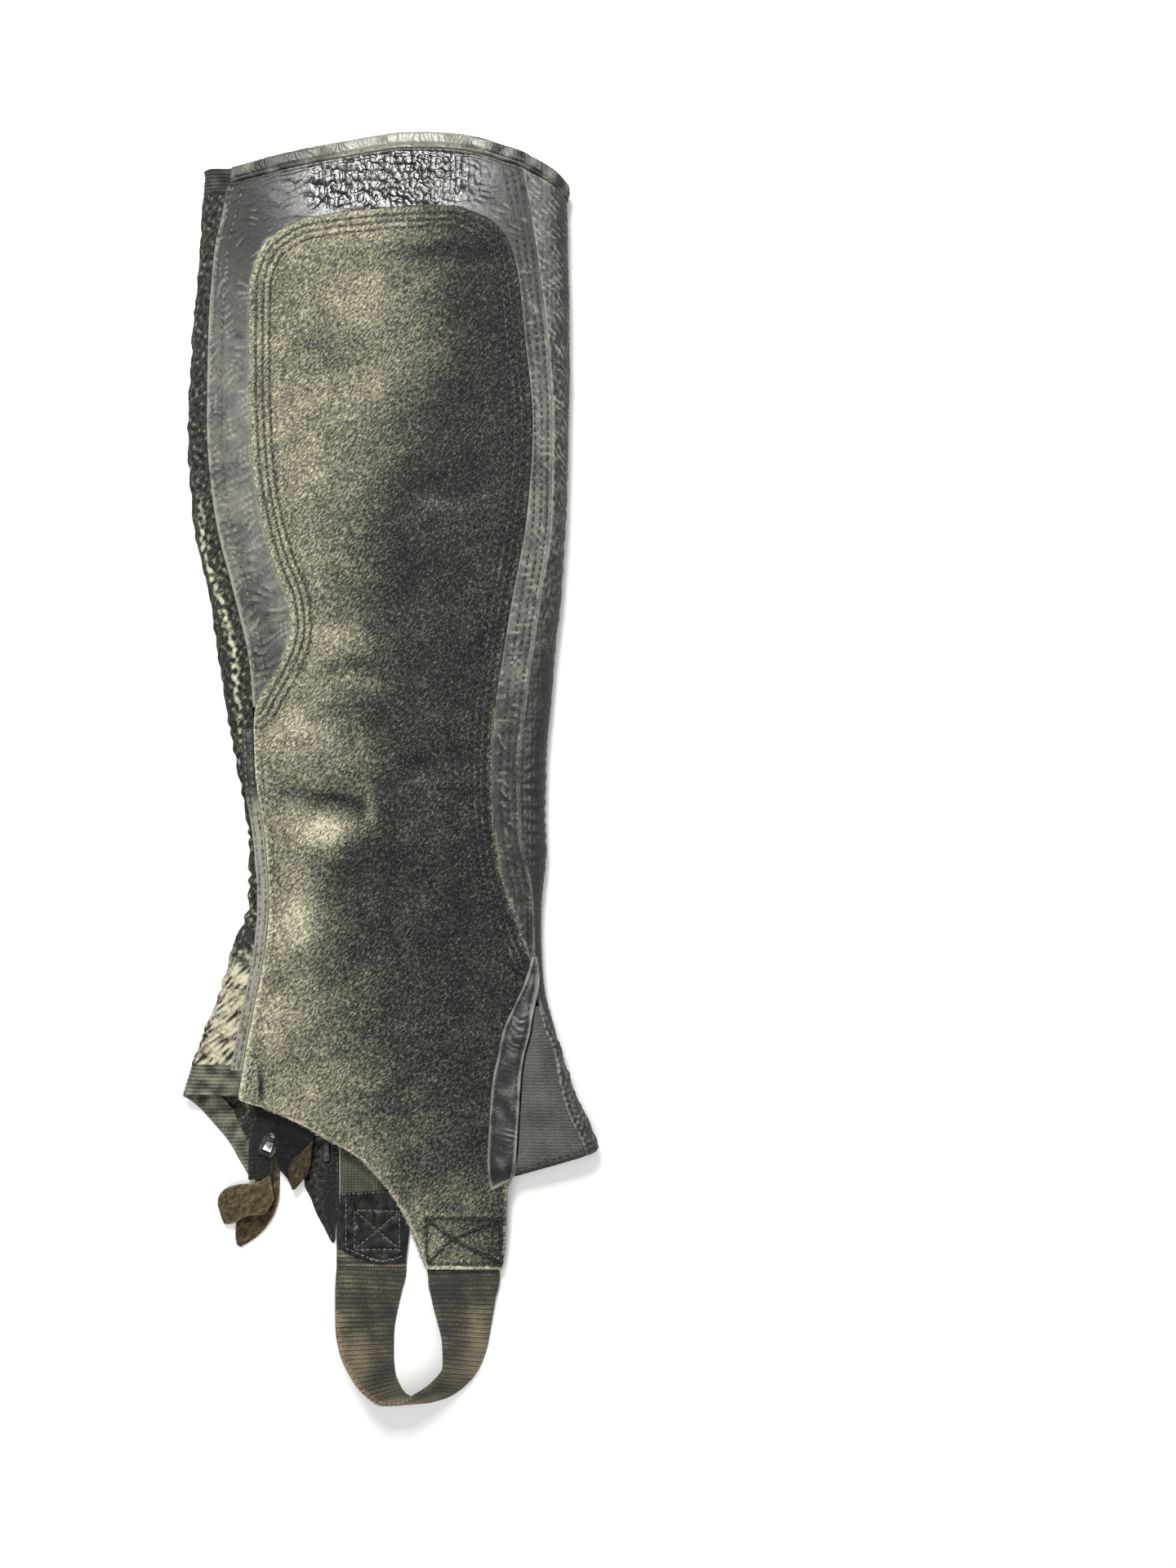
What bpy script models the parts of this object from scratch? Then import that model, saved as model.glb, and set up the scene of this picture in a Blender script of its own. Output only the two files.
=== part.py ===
"""Half chap for a left leg, lying flat on its outer side with its zip fully open.

A gaiter of black leather that wraps the calf from below the knee to the ankle. Its inner side is
up: a suede grip panel set in a leather frame. The leather carries on round the front fold and
under the leg to the zip, a stretch panel makes the back fold, and an elastic strap joins the
suede tongue to a tab on the underside, to pass under the foot.

Tables are in millimetres. +Y points to the knee, +X to the front of the leg, +Z up, and the
origin is under the middle of the chap, on the surface that it lies on.
"""

import bpy
import bmesh
import numpy as np

MM = 0.001
SEAM_GAP = 0.2          # each piece stops this far from its seam line, so two are 0.4 apart
LEATHER = 1.8           # thickness of the leather
SUEDE_PROUD = 0.8       # the suede grip panel stands this far above the leather frame
STRETCH = (0.2, 1.8)    # depths of the stretch panel's two faces below the leather's face
ON_TOP = (-1.4, -0.2)   # the same for a tape sewn on the stretch panel
TRIM = (-2.5, -1.1)     # for the trim sewn on the suede
GUSSET = (0.3, 1.7)     # for the elastic gusset
BINDING = (-0.7, 2.1)   # for the leather bound round the top edge
TAPE = (2.1, 3.1)       # heights of the zip tapes, which lie on the inner face of the underside
CHAIN = (1.3, 4.0)      # heights of the rows of zip teeth
TEETH_WIDTH = 3.2
TAPE_WIDTH = 15.0       # of the back tape
FRONT_TAPE_WIDTH = 9.0  # and of what shows of the front one
BINDING_HEIGHT = 7.5    # of the leather binding round the top edge
CUFF_HEIGHT = 12.0      # of the rib cuff at the top of the stretch panel
HEM_CUFF_HEIGHT = 14.0  # and of the one at its bottom
SEAM_TAPE_WIDTH = 5.2
LEAF = 1.4              # thickness of the suede of the zip pull
UNDER_TRIM = 0.6        # the gusset stops this far from the suede, where the trim hides the gap

# One row per section across the leg. The folds are the outermost points left and right, the seams
# are where the pieces meet on the upper side, a rise is the height of the fold, and sag is how
# far the upper side sinks between the two folds.
#    y    back_fold back_seam front_seam front_fold back_rise front_rise sag
SECTIONS = (
    (-232, -96.0, -70.0, 66.0, 96.5, 7.0, 7.0, 0.0),
    (-200, -96.0, -70.0, 66.0, 96.5, 9.0, 12.0, 1.5),
    (-178, -96.8, -70.0, 66.0, 96.0, 12.0, 17.0, 3.0),
    (-165, -96.8, -70.0, 66.0, 93.0, 13.5, 18.0, 4.0),
    (-152, -96.8, -70.0, 66.0, 86.5, 14.0, 18.0, 5.0),
    (-140, -94.0, -68.5, 66.0, 82.0, 14.0, 18.0, 5.0),
    (-120, -86.5, -65.0, 66.5, 76.5, 14.0, 18.0, 5.0),
    (-100, -79.0, -61.0, 67.0, 71.5, 13.5, 17.0, 5.0),
    (-80, -73.0, -57.5, 66.5, 69.5, 13.0, 16.5, 4.5),
    (-60, -66.5, -56.0, 66.0, 70.5, 12.5, 16.5, 4.0),
    (-30, -66.5, -58.0, 60.5, 72.0, 12.5, 17.0, 3.5),
    (0, -71.5, -62.5, 59.5, 72.0, 12.5, 17.5, 3.5),
    (30, -77.0, -63.5, 62.5, 74.5, 13.0, 18.5, 4.5),
    (50, -80.0, -65.0, 65.0, 76.0, 13.5, 19.5, 5.5),
    (80, -84.5, -71.5, 69.5, 79.0, 14.0, 21.0, 6.5),
    (120, -92.5, -81.0, 75.0, 81.5, 14.5, 22.0, 7.0),
    (160, -94.5, -84.5, 75.5, 82.5, 14.5, 22.0, 7.0),
    (200, -92.5, -84.0, 73.0, 83.0, 14.0, 22.0, 6.5),
    (240, -89.5, -81.5, 68.0, 82.5, 13.0, 21.0, 5.0),
    (260, -88.5, -77.5, 65.0, 82.0, 12.5, 20.0, 4.0),
    (280, -87.0, -73.5, 61.5, 81.5, 12.0, 19.0, 3.5),
    (300, -87.0, -73.5, 61.5, 81.5, 12.0, 19.0, 3.5),
)
BACK_FOLD, BACK_SEAM, FRONT_SEAM, FRONT_FOLD, BACK_RISE, FRONT_RISE, SAG = range(1, 8)

# Creases of the upper side across the ankle and below the calf: from one end to the other, how
# deep (a ridge is negative) and how wide.
#    x0   y0    x1   y1  depth width
CREASES = (
    (-46, -9, -12, -17, 2.4, 4.0),
    (-10, -14, 38, -1, -1.2, 6.0),
    (-6, -4, 30, 8, 0.9, 5.0),
    (-20, 76, 6, 82, 0.6, 5.0),
)

# The edge of the suede grip where the leather frame meets it: up the back side, up the front
# side, and the arch between their last rows.
#  x   y
GRIP_BACK = (
    (-62.2, 30), (-57.5, 39), (-52.0, 48), (-48.2, 57), (-46.0, 67), (-47.5, 80), (-54.0, 97),
    (-60.0, 120), (-63.5, 142), (-64.5, 160), (-65.2, 180), (-65.2, 200), (-65.0, 226),
    (-62.5, 236), (-58.5, 244.5), (-51.0, 251), (-40.5, 256.5),
)
GRIP_FRONT = (
    (65.0, -85), (60.5, -73), (56.0, -60), (51.5, -45), (49.0, -30), (47.8, -14), (47.5, 0),
    (48.0, 15), (49.0, 30), (52.0, 50), (57.0, 80), (64.0, 120), (66.5, 160), (62.7, 200),
    (60.0, 226), (58.2, 235), (56.0, 242), (52.5, 248.5), (47.0, 254),
)
GRIP_ARCH = ((-40.5, 256.5), (-20, 259.8), (8, 261.6), (30, 261), (47.0, 254))

# Below the grip: the curved hem of the suede down to the tongue, the front edge of the suede, and
# the inner edge of the trim that lies on it.
SUEDE_HEM = (
    (-70.0, -151), (-58.5, -155.5), (-48.5, -160), (-37.5, -165.5), (-29.5, -170.5),
    (-21, -175), (-13.5, -180), (-8, -186), (-2, -193), (3, -201), (7.3, -209), (10.4, -216),
    (13.4, -224), (16.5, -232),
)
ANKLE_FRONT = (
    (67.0, -85), (68.0, -91), (68.0, -97), (66.8, -108), (65.5, -119), (62.3, -132),
    (60.6, -146), (60.2, -157), (59.2, -169), (58.4, -183), (56.8, -188), (54.5, -195),
    (54.0, -210), (53.4, -220), (52.0, -232),
)
TRIM_INNER = (
    (65.0, -85), (62.0, -98), (56.5, -110), (52.0, -121), (50.0, -132), (47.5, -144),
    (46.0, -165), (45.2, -187), (46.6, -194),
)
GUSSET_OUTER = (
    (69.0, -108), (71.0, -117), (74.5, -123), (76.5, -130), (77.8, -138), (79.4, -147),
    (82.2, -156), (85.5, -164), (91.0, -175), (91.5, -178),
)
# Girth that the gusset's leather binding takes up, by height.
BINDING_WIDTH = ((10.3, -178), (10.5, -152), (9.0, -141), (7.0, -130), (4.0, -119), (1.6, -108))
# Foot of the trim, the gusset and its binding: height at the back edge and at the front edge.
TRIM_FOOT = (-194.0, -188.3)
GUSSET_FOOT = (-187.2, -177.0)

# Height of the top edge: by x over the arch of the upper side, and for the outer leather by how
# far round it is (0 at the front seam, 1 where the fold ends, 2 at the zip).
TOP_ARCH = ((-73.5, 280.3), (-50, 287), (-23, 292.5), (9, 296.5), (32, 294.7), (61.5, 285.6))
TOP_ROUND = (
    (0, 285.6), (0.25, 279.5), (0.5, 273.5), (0.75, 272.5), (1.0, 275.5), (1.15, 284.5),
    (1.36, 290.0), (1.57, 292.0), (1.86, 288.5), (2.0, 285.0),
)
BACK_TOP = 280.0
# Height of the hems underneath, by the same measure; the back one counts from the back seam.
OUTER_HEM = (
    (0, -175.0), (0.5, -175.5), (1.0, -178.5), (1.25, -182.0), (1.5, -179.0), (1.66, -173.0),
    (2.0, -173.0),
)
BACK_HEM = (
    (0, -150.3), (0.5, -149.5), (0.8, -152.5), (1.0, -158.0), (1.35, -167.0), (1.6, -173.5),
    (1.8, -181.0), (2.0, -189.0),
)

# The free edge of the two zip tapes, where the teeth are: nearly together at the knee, apart at
# the ankle.
#   y   back_tape front_tape
ZIP_LINE = (
    (-222, -58.5, -29.0), (-181, -58.5, -28.9), (-166, -57.0, -28.9), (-150, -50.0, -28.5),
    (-120, -46.0, -27.5), (-60, -38.0, -25.0), (-30, -37.0, -25.5), (0, -39.0, -28.0),
    (50, -44.0, -35.0), (100, -48.0, -40.0), (160, -50.5, -42.5), (230, -50.5, -43.2),
    (300, -50.5, -43.2),
)
BACK_TAPE, FRONT_TAPE = 1, 2

# The strap's two edges from the tongue to the tab: the rim edge stands up on the way round and
# the foot edge stays low. The chord is the straight width across the cupped ribbon.
#  rim_x  rim_y  foot_x foot_y foot_z chord
STRAP = (
    (16.0, -218.0, 49.5, -217.0, 2.9, 33.5),
    (17.0, -237.0, 50.5, -236.0, 2.7, 33.5),
    (19.5, -245.0, 48.3, -247.5, 1.8, 30.5),
    (22.5, -252.5, 46.5, -258.0, 0.9, 30.0),
    (25.0, -261.5, 44.5, -269.0, 0.3, 29.5),
    (25.5, -271.5, 40.5, -280.0, 0.0, 29.0),
    (20.5, -279.0, 34.0, -288.0, 0.0, 29.0),
    (13.5, -284.0, 25.0, -293.5, 0.0, 29.0),
    (6.0, -287.3, 14.5, -295.5, 0.0, 29.0),
    (-2.5, -287.8, 7.0, -293.0, 0.0, 29.0),
    (-10.5, -283.5, 2.8, -287.0, 0.0, 29.0),
    (-16.5, -277.0, 1.0, -281.5, 0.0, 29.0),
    (-21.5, -269.0, 0.4, -273.0, 0.0, 29.5),
    (-24.2, -259.5, 0.6, -263.0, 0.0, 30.0),
    (-25.2, -249.0, 2.4, -252.0, 0.0, 30.5),
    (-25.8, -241.0, 4.4, -243.5, 0.0, 31.5),
    (-26.3, -233.0, 6.5, -233.5, 0.0, 32.8),
    (-26.3, -203.0, 6.8, -203.0, 0.0, 33.1),
)
STRAP_THICKNESS = 1.7

# Outlines of small flat pieces, a row across each: left end, right end and height of the underside.
#  left_x left_y right_x right_y z
KNIT = ((-24.5, -173.5, 12.0, -173.9, 0), (-24.5, -201.3, 12.0, -201.3, 0))
TAB = (
    (-24.3, -197.5, -1.0, -196.0, 2.1), (-24.6, -207.0, 7.6, -206.0, 2.1),
    (-25.8, -214.5, 8.0, -214.5, 2.1), (-26.0, -220.0, 7.4, -222.0, 2.1),
    (-22.5, -224.5, 6.3, -228.4, 2.1), (-12.0, -229.3, -4.5, -230.8, 2.1),
)
GUARD = (
    (-42.0, -150.0, -25.3, -150.0, 0), (-42.0, -172.0, -25.3, -172.0, 0),
    (-41.5, -193.5, -25.3, -193.5, 0), (-38.6, -200.0, -26.8, -201.0, 0),
    (-35.5, -208.0, -27.1, -208.0, 0), (-32.0, -214.5, -27.2, -215.0, 0),
    (-29.0, -220.5, -27.6, -221.5, 0),
)
FRONT_TAPE_END = (
    (-28.6, -173.4, -24.9, -173.4, 2.1), (-28.6, -182.5, -24.9, -182.5, 2.1),
    (-30.8, -184.0, -24.9, -184.0, 2.1), (-33.2, -196.0, -24.9, -196.0, 2.1),
    (-33.0, -206.0, -25.0, -206.0, 2.1), (-30.5, -214.0, -26.6, -214.0, 2.1),
    (-28.4, -219.5, -26.8, -219.8, 2.1),
)
FLAP = (
    (-54.0, -150.0, -33.0, -150.0, 6.2), (-53.4, -163.0, -35.5, -163.0, 6.0),
    (-52.8, -172.0, -36.5, -172.0, 5.7), (-52.2, -184.0, -38.0, -184.0, 5.3),
    (-48.6, -190.0, -41.0, -190.0, 5.1), (-46.5, -195.0, -45.6, -195.2, 5.0),
)
FLAP_CORNER = (
    (-37.1, -172.0, -36.3, -172.2, 7.4), (-41.5, -177.0, -37.0, -177.0, 7.3),
    (-47.0, -182.0, -37.4, -182.0, 7.1), (-48.0, -187.0, -38.8, -187.0, 6.9),
    (-47.2, -191.0, -41.8, -191.0, 6.7), (-46.3, -194.8, -45.0, -194.8, 6.6),
)
LOWER_LEAF = (
    (-63.0, -182.2, -54.5, -180.4, 5.2), (-64.0, -189.8, -53.4, -189.8, 4.5),
    (-66.3, -197.4, -53.4, -198.6, 3.0), (-69.4, -205.0, -54.9, -205.8, 1.5),
    (-73.5, -211.9, -59.5, -213.8, 0.6), (-73.9, -217.6, -65.6, -219.5, 0.3),
    (-73.2, -221.7, -71.3, -222.9, 0.3),
)
UPPER_LEAF = (
    (-54.5, -199.3, -56.4, -187.9, 6.8), (-59.5, -206.2, -64.4, -191.7, 7.2),
    (-65.9, -206.7, -70.1, -192.1, 7.0), (-71.3, -209.2, -76.2, -193.8, 6.0),
    (-74.7, -211.1, -79.8, -196.7, 4.0), (-78.1, -211.7, -81.5, -200.0, 2.4),
    (-80.0, -208.8, -81.8, -203.0, 1.9),
)

# The slider at the foot of the back tape, turned so that its mouth faces up and to the front.
SLIDER_AT = (-57.2, -174.5)
SLIDER_TURN = np.radians(-24)
SLIDER_SIZE = (8.4, 11.0)
PIN_SIZE = (3.2, 9.4, 2.6)
PIN_AT = (-30.6, -177.6, 2.5)

# Rows of stations between knee and ankle, shared by the long pieces so that their edges match.
# Above the first one come rows at shares of the way to the top edge, below the last one at shares
# of the way to the hem.
ROWS = np.array([
    200, 186, 173, 160, 147, 134, 120, 107, 94, 80, 67, 57, 48, 39, 30, 20, 10, 0, -10, -20, -30,
    -40, -50, -60, -68, -76, -85, -97, -108, -119, -130, -141, -152,
], float)
ABOVE = np.array([1.0, 0.8, 0.58, 0.36, 0.17])
BELOW = np.array([0.34, 0.67, 1.0])
# Heights at which the grip's round corners meet the rulings from those upper rows.
CORNER_BACK = np.array([251, 244.5, 236, 226, 213])
CORNER_FRONT = np.array([248.5, 242, 235, 226, 213])
ARCH_COLUMNS = 11
FRAME_COLUMNS = 4
ROUND_FRONT = np.array([
    0, 0.11, 0.22, 0.33, 0.44, 0.55, 0.66, 0.77, 0.88, 1, 1.2, 1.4, 1.55, 1.66, 1.83, 2,
])
ROUND_BACK = np.array([0, 0.14, 0.28, 0.42, 0.56, 0.7, 0.85, 1, 1.35, 1.6, 1.8, 2])


# ---------------------------------------------------------------------------------------------
# Curves through the tables
# ---------------------------------------------------------------------------------------------

def through(knots, values, at):
    """Cubic through the table's rows that never swings past them (Fritsch-Carlson slopes)."""
    knots = np.asarray(knots, float)
    values = np.asarray(values, float)
    step = np.diff(knots)
    rise = np.diff(values) / step
    both = rise[1:] + rise[:-1]
    same = rise[1:] * rise[:-1] > 0
    slope = np.concatenate([rise[:1], np.zeros(len(both)), rise[-1:]])
    slope[1:-1][same] = 2 * rise[1:][same] * rise[:-1][same] / both[same]
    i = np.clip(np.searchsorted(knots, at, side="right") - 1, 0, len(step) - 1)
    t = np.clip((at - knots[i]) / step[i], 0, 1)
    return (
        values[i] * (1 + 2 * t) * (1 - t) ** 2
        + slope[i] * step[i] * t * (1 - t) ** 2
        + values[i + 1] * t * t * (3 - 2 * t)
        + slope[i + 1] * step[i] * t * t * (t - 1)
    )


def read(table, at):
    """Second column of a two-column table, by its first."""
    table = np.array(table, float)
    return through(table[:, 0], table[:, 1], at)


def section(column, y):
    """A column of SECTIONS at height y."""
    rows = np.array(SECTIONS, float)
    return through(rows[:, 0], rows[:, column], y)


def zip_edge(column, y):
    rows = np.array(ZIP_LINE, float)
    return through(rows[:, 0], rows[:, column], y)


def x_at(edge, y):
    """x of an edge table of (x, y) rows, at height y."""
    edge = np.array(sorted(edge, key=lambda point: point[1]), float)
    return through(edge[:, 1], edge[:, 0], y)


def spread(edge, count):
    """count points evenly along an edge table, joined by a smooth curve."""
    edge = np.array(edge, float)
    along = np.concatenate(([0], np.cumsum(np.linalg.norm(np.diff(edge, axis=0), axis=1))))
    at = np.linspace(0, along[-1], count)
    return np.stack([through(along, edge[:, 0], at), through(along, edge[:, 1], at)], axis=1)


# ---------------------------------------------------------------------------------------------
# The skin of the leg: a flattened tube with a round fold on each side
# ---------------------------------------------------------------------------------------------

def folds(y):
    """Radius and inner end of the back fold and of the front fold at height y."""
    back = section(BACK_RISE, y) / 2
    front = section(FRONT_RISE, y) / 2
    return back, section(BACK_FOLD, y) + back, front, section(FRONT_FOLD, y) - front


def crease(x, y):
    """Depth of the creases at x, y: a soft bell across each, fading out past its ends."""
    total = np.zeros_like(x)
    for x0, y0, x1, y1, depth, width in CREASES:
        length = np.hypot(x1 - x0, y1 - y0)
        along = ((x - x0) * (x1 - x0) + (y - y0) * (y1 - y0)) / length
        across = ((x - x0) * (y1 - y0) - (y - y0) * (x1 - x0)) / length
        past = np.maximum(np.abs(along - length / 2) - length / 2, 0)
        total += depth * np.exp(-(across / width) ** 2 - (past / 7) ** 2)
    return total


def top_height(x, y):
    """Height of the upper side between the folds: from one fold's rise to the other's, sagging."""
    back, x1, front, x2 = folds(y)
    s = np.clip((x - x1) / (x2 - x1), 0, 1)
    level = 2 * back + (2 * front - 2 * back) * s * s * (3 - 2 * s)
    middle = np.sin(np.pi * s) ** 2
    return level - section(SAG, y) * middle - crease(x, y) * np.minimum(1, 3 * middle)


def skin(u, y, depth):
    """Point at girth u and height y, at a depth below the outer face.

    On the upper side u is x. Past either fold's inner end it runs on round the fold and back
    along the underside, always measured on the outer face. Nothing goes below the surface that
    the chap lies on.
    """
    u, y = np.broadcast_arrays(np.asarray(u, float), np.asarray(y, float))
    back, x1, front, x2 = folds(y)
    turn_front = np.clip((u - x2) / front, 0, np.pi)
    turn_back = np.clip((x1 - u) / back, 0, np.pi)
    under_front = np.maximum(u - x2 - np.pi * front, 0)
    under_back = np.maximum(x1 - np.pi * back - u, 0)
    x = np.where(u > x2, x2 + (front - depth) * np.sin(turn_front) - under_front, u)
    x = np.where(u < x1, x1 - (back - depth) * np.sin(turn_back) + under_back, x)
    z = top_height(np.clip(u, x1, x2), y) - depth
    z = np.where(u > x2, front + (front - depth) * np.cos(turn_front), z)
    z = np.where(u < x1, back + (back - depth) * np.cos(turn_back), z)
    return np.stack([x, y, np.maximum(z, 0)], axis=-1)


def girth_of(x, y):
    """Girth u of the point of the upper side that is seen at x from above."""
    back, x1, front, x2 = folds(y)
    round_front = x2 + front * np.arcsin(np.clip((x - x2) / front, 0, 1))
    round_back = x1 - back * np.arcsin(np.clip((x1 - x) / back, 0, 1))
    return np.where(x > x2, round_front, np.where(x < x1, round_back, x))


def upper_edge(x, y):
    """Points (u, y) of an edge given by x on the upper side."""
    return np.stack([girth_of(x, y), y + 0 * x], axis=-1)


def front_start(y):
    """Girth where the outer leather starts: the front seam, the trim, then the gusset's binding."""
    seam = girth_of(section(FRONT_SEAM, y), y)
    trim = girth_of(x_at(ANKLE_FRONT, y), y)
    binding = girth_of(x_at(GUSSET_OUTER, y), y) + x_at(BINDING_WIDTH, y)
    return np.where(y >= -85, seam, np.where(y > -108, trim, binding))


def front_girth(part, y):
    """Girth at a part of the way round the front: 0 at its start, 1 fold's end, 2 the zip."""
    back, x1, front, x2 = folds(y)
    start = front_start(y)
    turned = x2 + np.pi * front
    end = turned + x2 - (zip_edge(FRONT_TAPE, y) + FRONT_TAPE_WIDTH / 2)
    ends = turned + (end - turned) * (part - 1)
    return np.where(part < 1, start + (turned - start) * part, ends)


def back_girth(part, y):
    """The same round the back: 0 at the back seam, 1 at the fold's end, 2 at the zip."""
    back, x1, front, x2 = folds(y)
    start = girth_of(section(BACK_SEAM, y), y)
    turned = x1 - np.pi * back
    end = turned + x1 - (zip_edge(BACK_TAPE, y) - TAPE_WIDTH * 0.6)
    ends = turned + (end - turned) * (part - 1)
    return np.where(part < 1, start + (turned - start) * part, ends)


def heights(top, rows, foot):
    """Height of each row (first index) in each column, given each column's top and foot."""
    above = rows[0] + ABOVE[:, None] * (top - rows[0])
    between = np.repeat(rows[:, None], len(top), axis=1)
    below = rows[-1] + BELOW[:, None] * (foot - rows[-1])
    return np.concatenate([above, between, below])


def foot_rows(first, last, foot):
    """Rows from one height down to another and on to the foot."""
    rows = ROWS[(ROWS <= first) & (ROWS >= last)]
    return np.concatenate([rows, rows[-1] + BELOW * (foot - rows[-1])])


# ---------------------------------------------------------------------------------------------
# Building solids
# ---------------------------------------------------------------------------------------------

def finish(name, points, faces, material):
    """A closed mesh in metres from points in millimetres, faces outwards, with its material."""
    mesh = bpy.data.meshes.new(name)
    mesh.from_pydata((np.asarray(points) * MM).tolist(), [], faces)
    shape = bmesh.new()
    shape.from_mesh(mesh)
    bmesh.ops.recalc_face_normals(shape, faces=shape.faces)
    shape.to_mesh(mesh)
    shape.free()
    mesh.shade_smooth()
    mesh.set_sharp_from_angle(angle=np.radians(40))
    mesh.materials.append(material)
    made = bpy.data.objects.new(name, mesh)
    bpy.context.collection.objects.link(made)
    return made


def wall(name, outer, inner, material):
    """Wall between two grids of points: both faces, and a rim round the edges."""
    rows, columns = outer.shape[:2]
    index = np.arange(rows * columns).reshape(rows, columns)
    quads = np.stack([index[:-1, :-1], index[:-1, 1:], index[1:, 1:], index[1:, :-1]], axis=-1)
    quads = quads.reshape(-1, 4)
    loop = np.concatenate([index[0], index[1:, -1], index[-1, -2::-1], index[-2:0:-1, 0]])
    after = np.roll(loop, -1)
    under = rows * columns
    rim = np.stack([after, loop, loop + under, after + under], axis=-1)
    faces = quads.tolist() + (quads[:, ::-1] + under).tolist() + rim.tolist()
    points = np.concatenate([outer.reshape(-1, 3), inner.reshape(-1, 3)])
    return finish(name, points, faces, material)


def shrink(grid):
    """Grid of (u, y) points with its four edges moved inwards by the seam gap, square to each."""
    moved = grid.copy()
    for axis in (0, 1):
        lines = np.swapaxes(grid, 0, axis)
        made = np.swapaxes(moved, 0, axis)
        for edge, inner in ((0, 1), (-1, -2)):
            along = np.gradient(lines[edge], axis=0)
            square = np.stack([-along[:, 1], along[:, 0]], axis=-1)
            square /= np.linalg.norm(square, axis=-1, keepdims=True)
            inwards = np.sum(square * (lines[inner] - lines[edge]), axis=-1, keepdims=True)
            made[edge] += SEAM_GAP * square * np.sign(inwards)
    return moved


def panel(name, grid, depths, material):
    """Cloth on the skin over a grid of (u, y) points, between an outer and an inner depth."""
    grid = shrink(grid)
    outer = skin(grid[..., 0], grid[..., 1], depths[0])
    inner = skin(grid[..., 0], grid[..., 1], depths[1])
    return wall(name, outer, inner, material)


def across(left, right, count):
    """Grid of rows from one edge's points to the other's, count columns each."""
    share = np.linspace(0, 1, count)[None, :, None]
    return left[:, None, :] * (1 - share) + right[:, None, :] * share


def patch(name, rows, thickness, material, count=5):
    """Flat piece from a table of rows: left end, right end and height of the underside."""
    rows = np.array(rows, float)
    grid = across(rows[:, 0:2], rows[:, 2:4], count)
    low = np.broadcast_to(rows[:, None, 4:5], grid.shape[:2] + (1,))
    bottom = np.concatenate([grid, low], axis=-1)
    return wall(name, bottom + np.array([0, 0, thickness]), bottom, material)


def band(name, y, left, right, heights_of, material, count=3):
    """Flat band with a left and a right edge at each height y, between two heights in z."""
    edges = [np.stack([side + 0 * y, y], axis=-1) for side in (left, right)]
    rows = np.concatenate([*edges, np.full((len(y), 1), heights_of[0])], axis=1)
    return patch(name, rows, heights_of[1] - heights_of[0], material, count)


def block(name, size, place, turn=0.0):
    """A box, size in x, y and z about its middle, turned about Z."""
    mesh = bpy.data.meshes.new(name)
    shape = bmesh.new()
    bmesh.ops.create_cube(shape, size=1.0)
    bmesh.ops.scale(shape, vec=np.array(size) * MM, verts=shape.verts)
    shape.to_mesh(mesh)
    shape.free()
    made = bpy.data.objects.new(name, mesh)
    made.location = np.array(place) * MM
    made.rotation_euler = (0, 0, turn)
    bpy.context.collection.objects.link(made)
    return made


def finish_material(name, colour, roughness, metallic=0.0):
    made = bpy.data.materials.new(name)
    made.use_nodes = True
    shader = made.node_tree.nodes["Principled BSDF"]
    shader.inputs["Base Color"].default_value = (*colour, 1)
    shader.inputs["Roughness"].default_value = roughness
    shader.inputs["Metallic"].default_value = metallic
    return made


# ---------------------------------------------------------------------------------------------
# The pieces
# ---------------------------------------------------------------------------------------------

def grip_rows():
    """The suede grip's back and front edges above the ankle, going down from the arch."""
    back = np.concatenate([CORNER_BACK, ROWS[ROWS >= 30]])
    front = np.concatenate([CORNER_FRONT, ROWS[ROWS >= -85]])
    return upper_edge(x_at(GRIP_BACK, back), back), upper_edge(x_at(GRIP_FRONT, front), front)


def suede_grip_panel(suede):
    """Grip, ankle and tongue in one piece of suede, hem to arch."""
    grip_back, grip_front = grip_rows()
    ankle = ROWS[(ROWS < 30) & (ROWS > -151)]
    seam = upper_edge(section(BACK_SEAM, ankle), ankle)
    hem = np.array([y for x, y in SUEDE_HEM], float)
    hem = upper_edge(x_at(SUEDE_HEM, hem), hem)
    left = np.concatenate([grip_back, seam, hem])
    lower = left[len(grip_front):, 1]
    right = np.concatenate([grip_front, upper_edge(x_at(ANKLE_FRONT, lower), lower)])
    arch = upper_edge(*spread(GRIP_ARCH, ARCH_COLUMNS).T)
    grid = np.concatenate([arch[None], across(left, right, ARCH_COLUMNS)])
    return panel("suede_grip_panel", grid, (-SUEDE_PROUD, LEATHER), suede)


def frame_edges():
    """Inner and outer edge of the leather frame: up its back side, over the arch, down its front."""
    grip_back, grip_front = grip_rows()
    arch = upper_edge(*spread(GRIP_ARCH, ARCH_COLUMNS).T)
    inner = np.concatenate([grip_back[::-1], arch, grip_front])
    top = TOP_ARCH[0][1] - BINDING_HEIGHT
    y = np.concatenate([ROWS[0] + ABOVE * (top - ROWS[0]), ROWS[ROWS >= 30]])
    back = upper_edge(section(BACK_SEAM, y), y)
    top = TOP_ARCH[-1][1] - BINDING_HEIGHT
    y = np.concatenate([ROWS[0] + ABOVE * (top - ROWS[0]), ROWS[ROWS >= -85]])
    front = upper_edge(section(FRONT_SEAM, y), y)
    x = np.linspace(-63, 53, ARCH_COLUMNS)
    over = upper_edge(x, read(TOP_ARCH, x) - BINDING_HEIGHT)
    return inner, np.concatenate([back[::-1], over, front]), len(back)


def leather_frame(leather):
    inner, outer = frame_edges()[:2]
    return panel("leather_frame", across(inner, outer, FRAME_COLUMNS), (0, LEATHER), leather)


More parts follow.
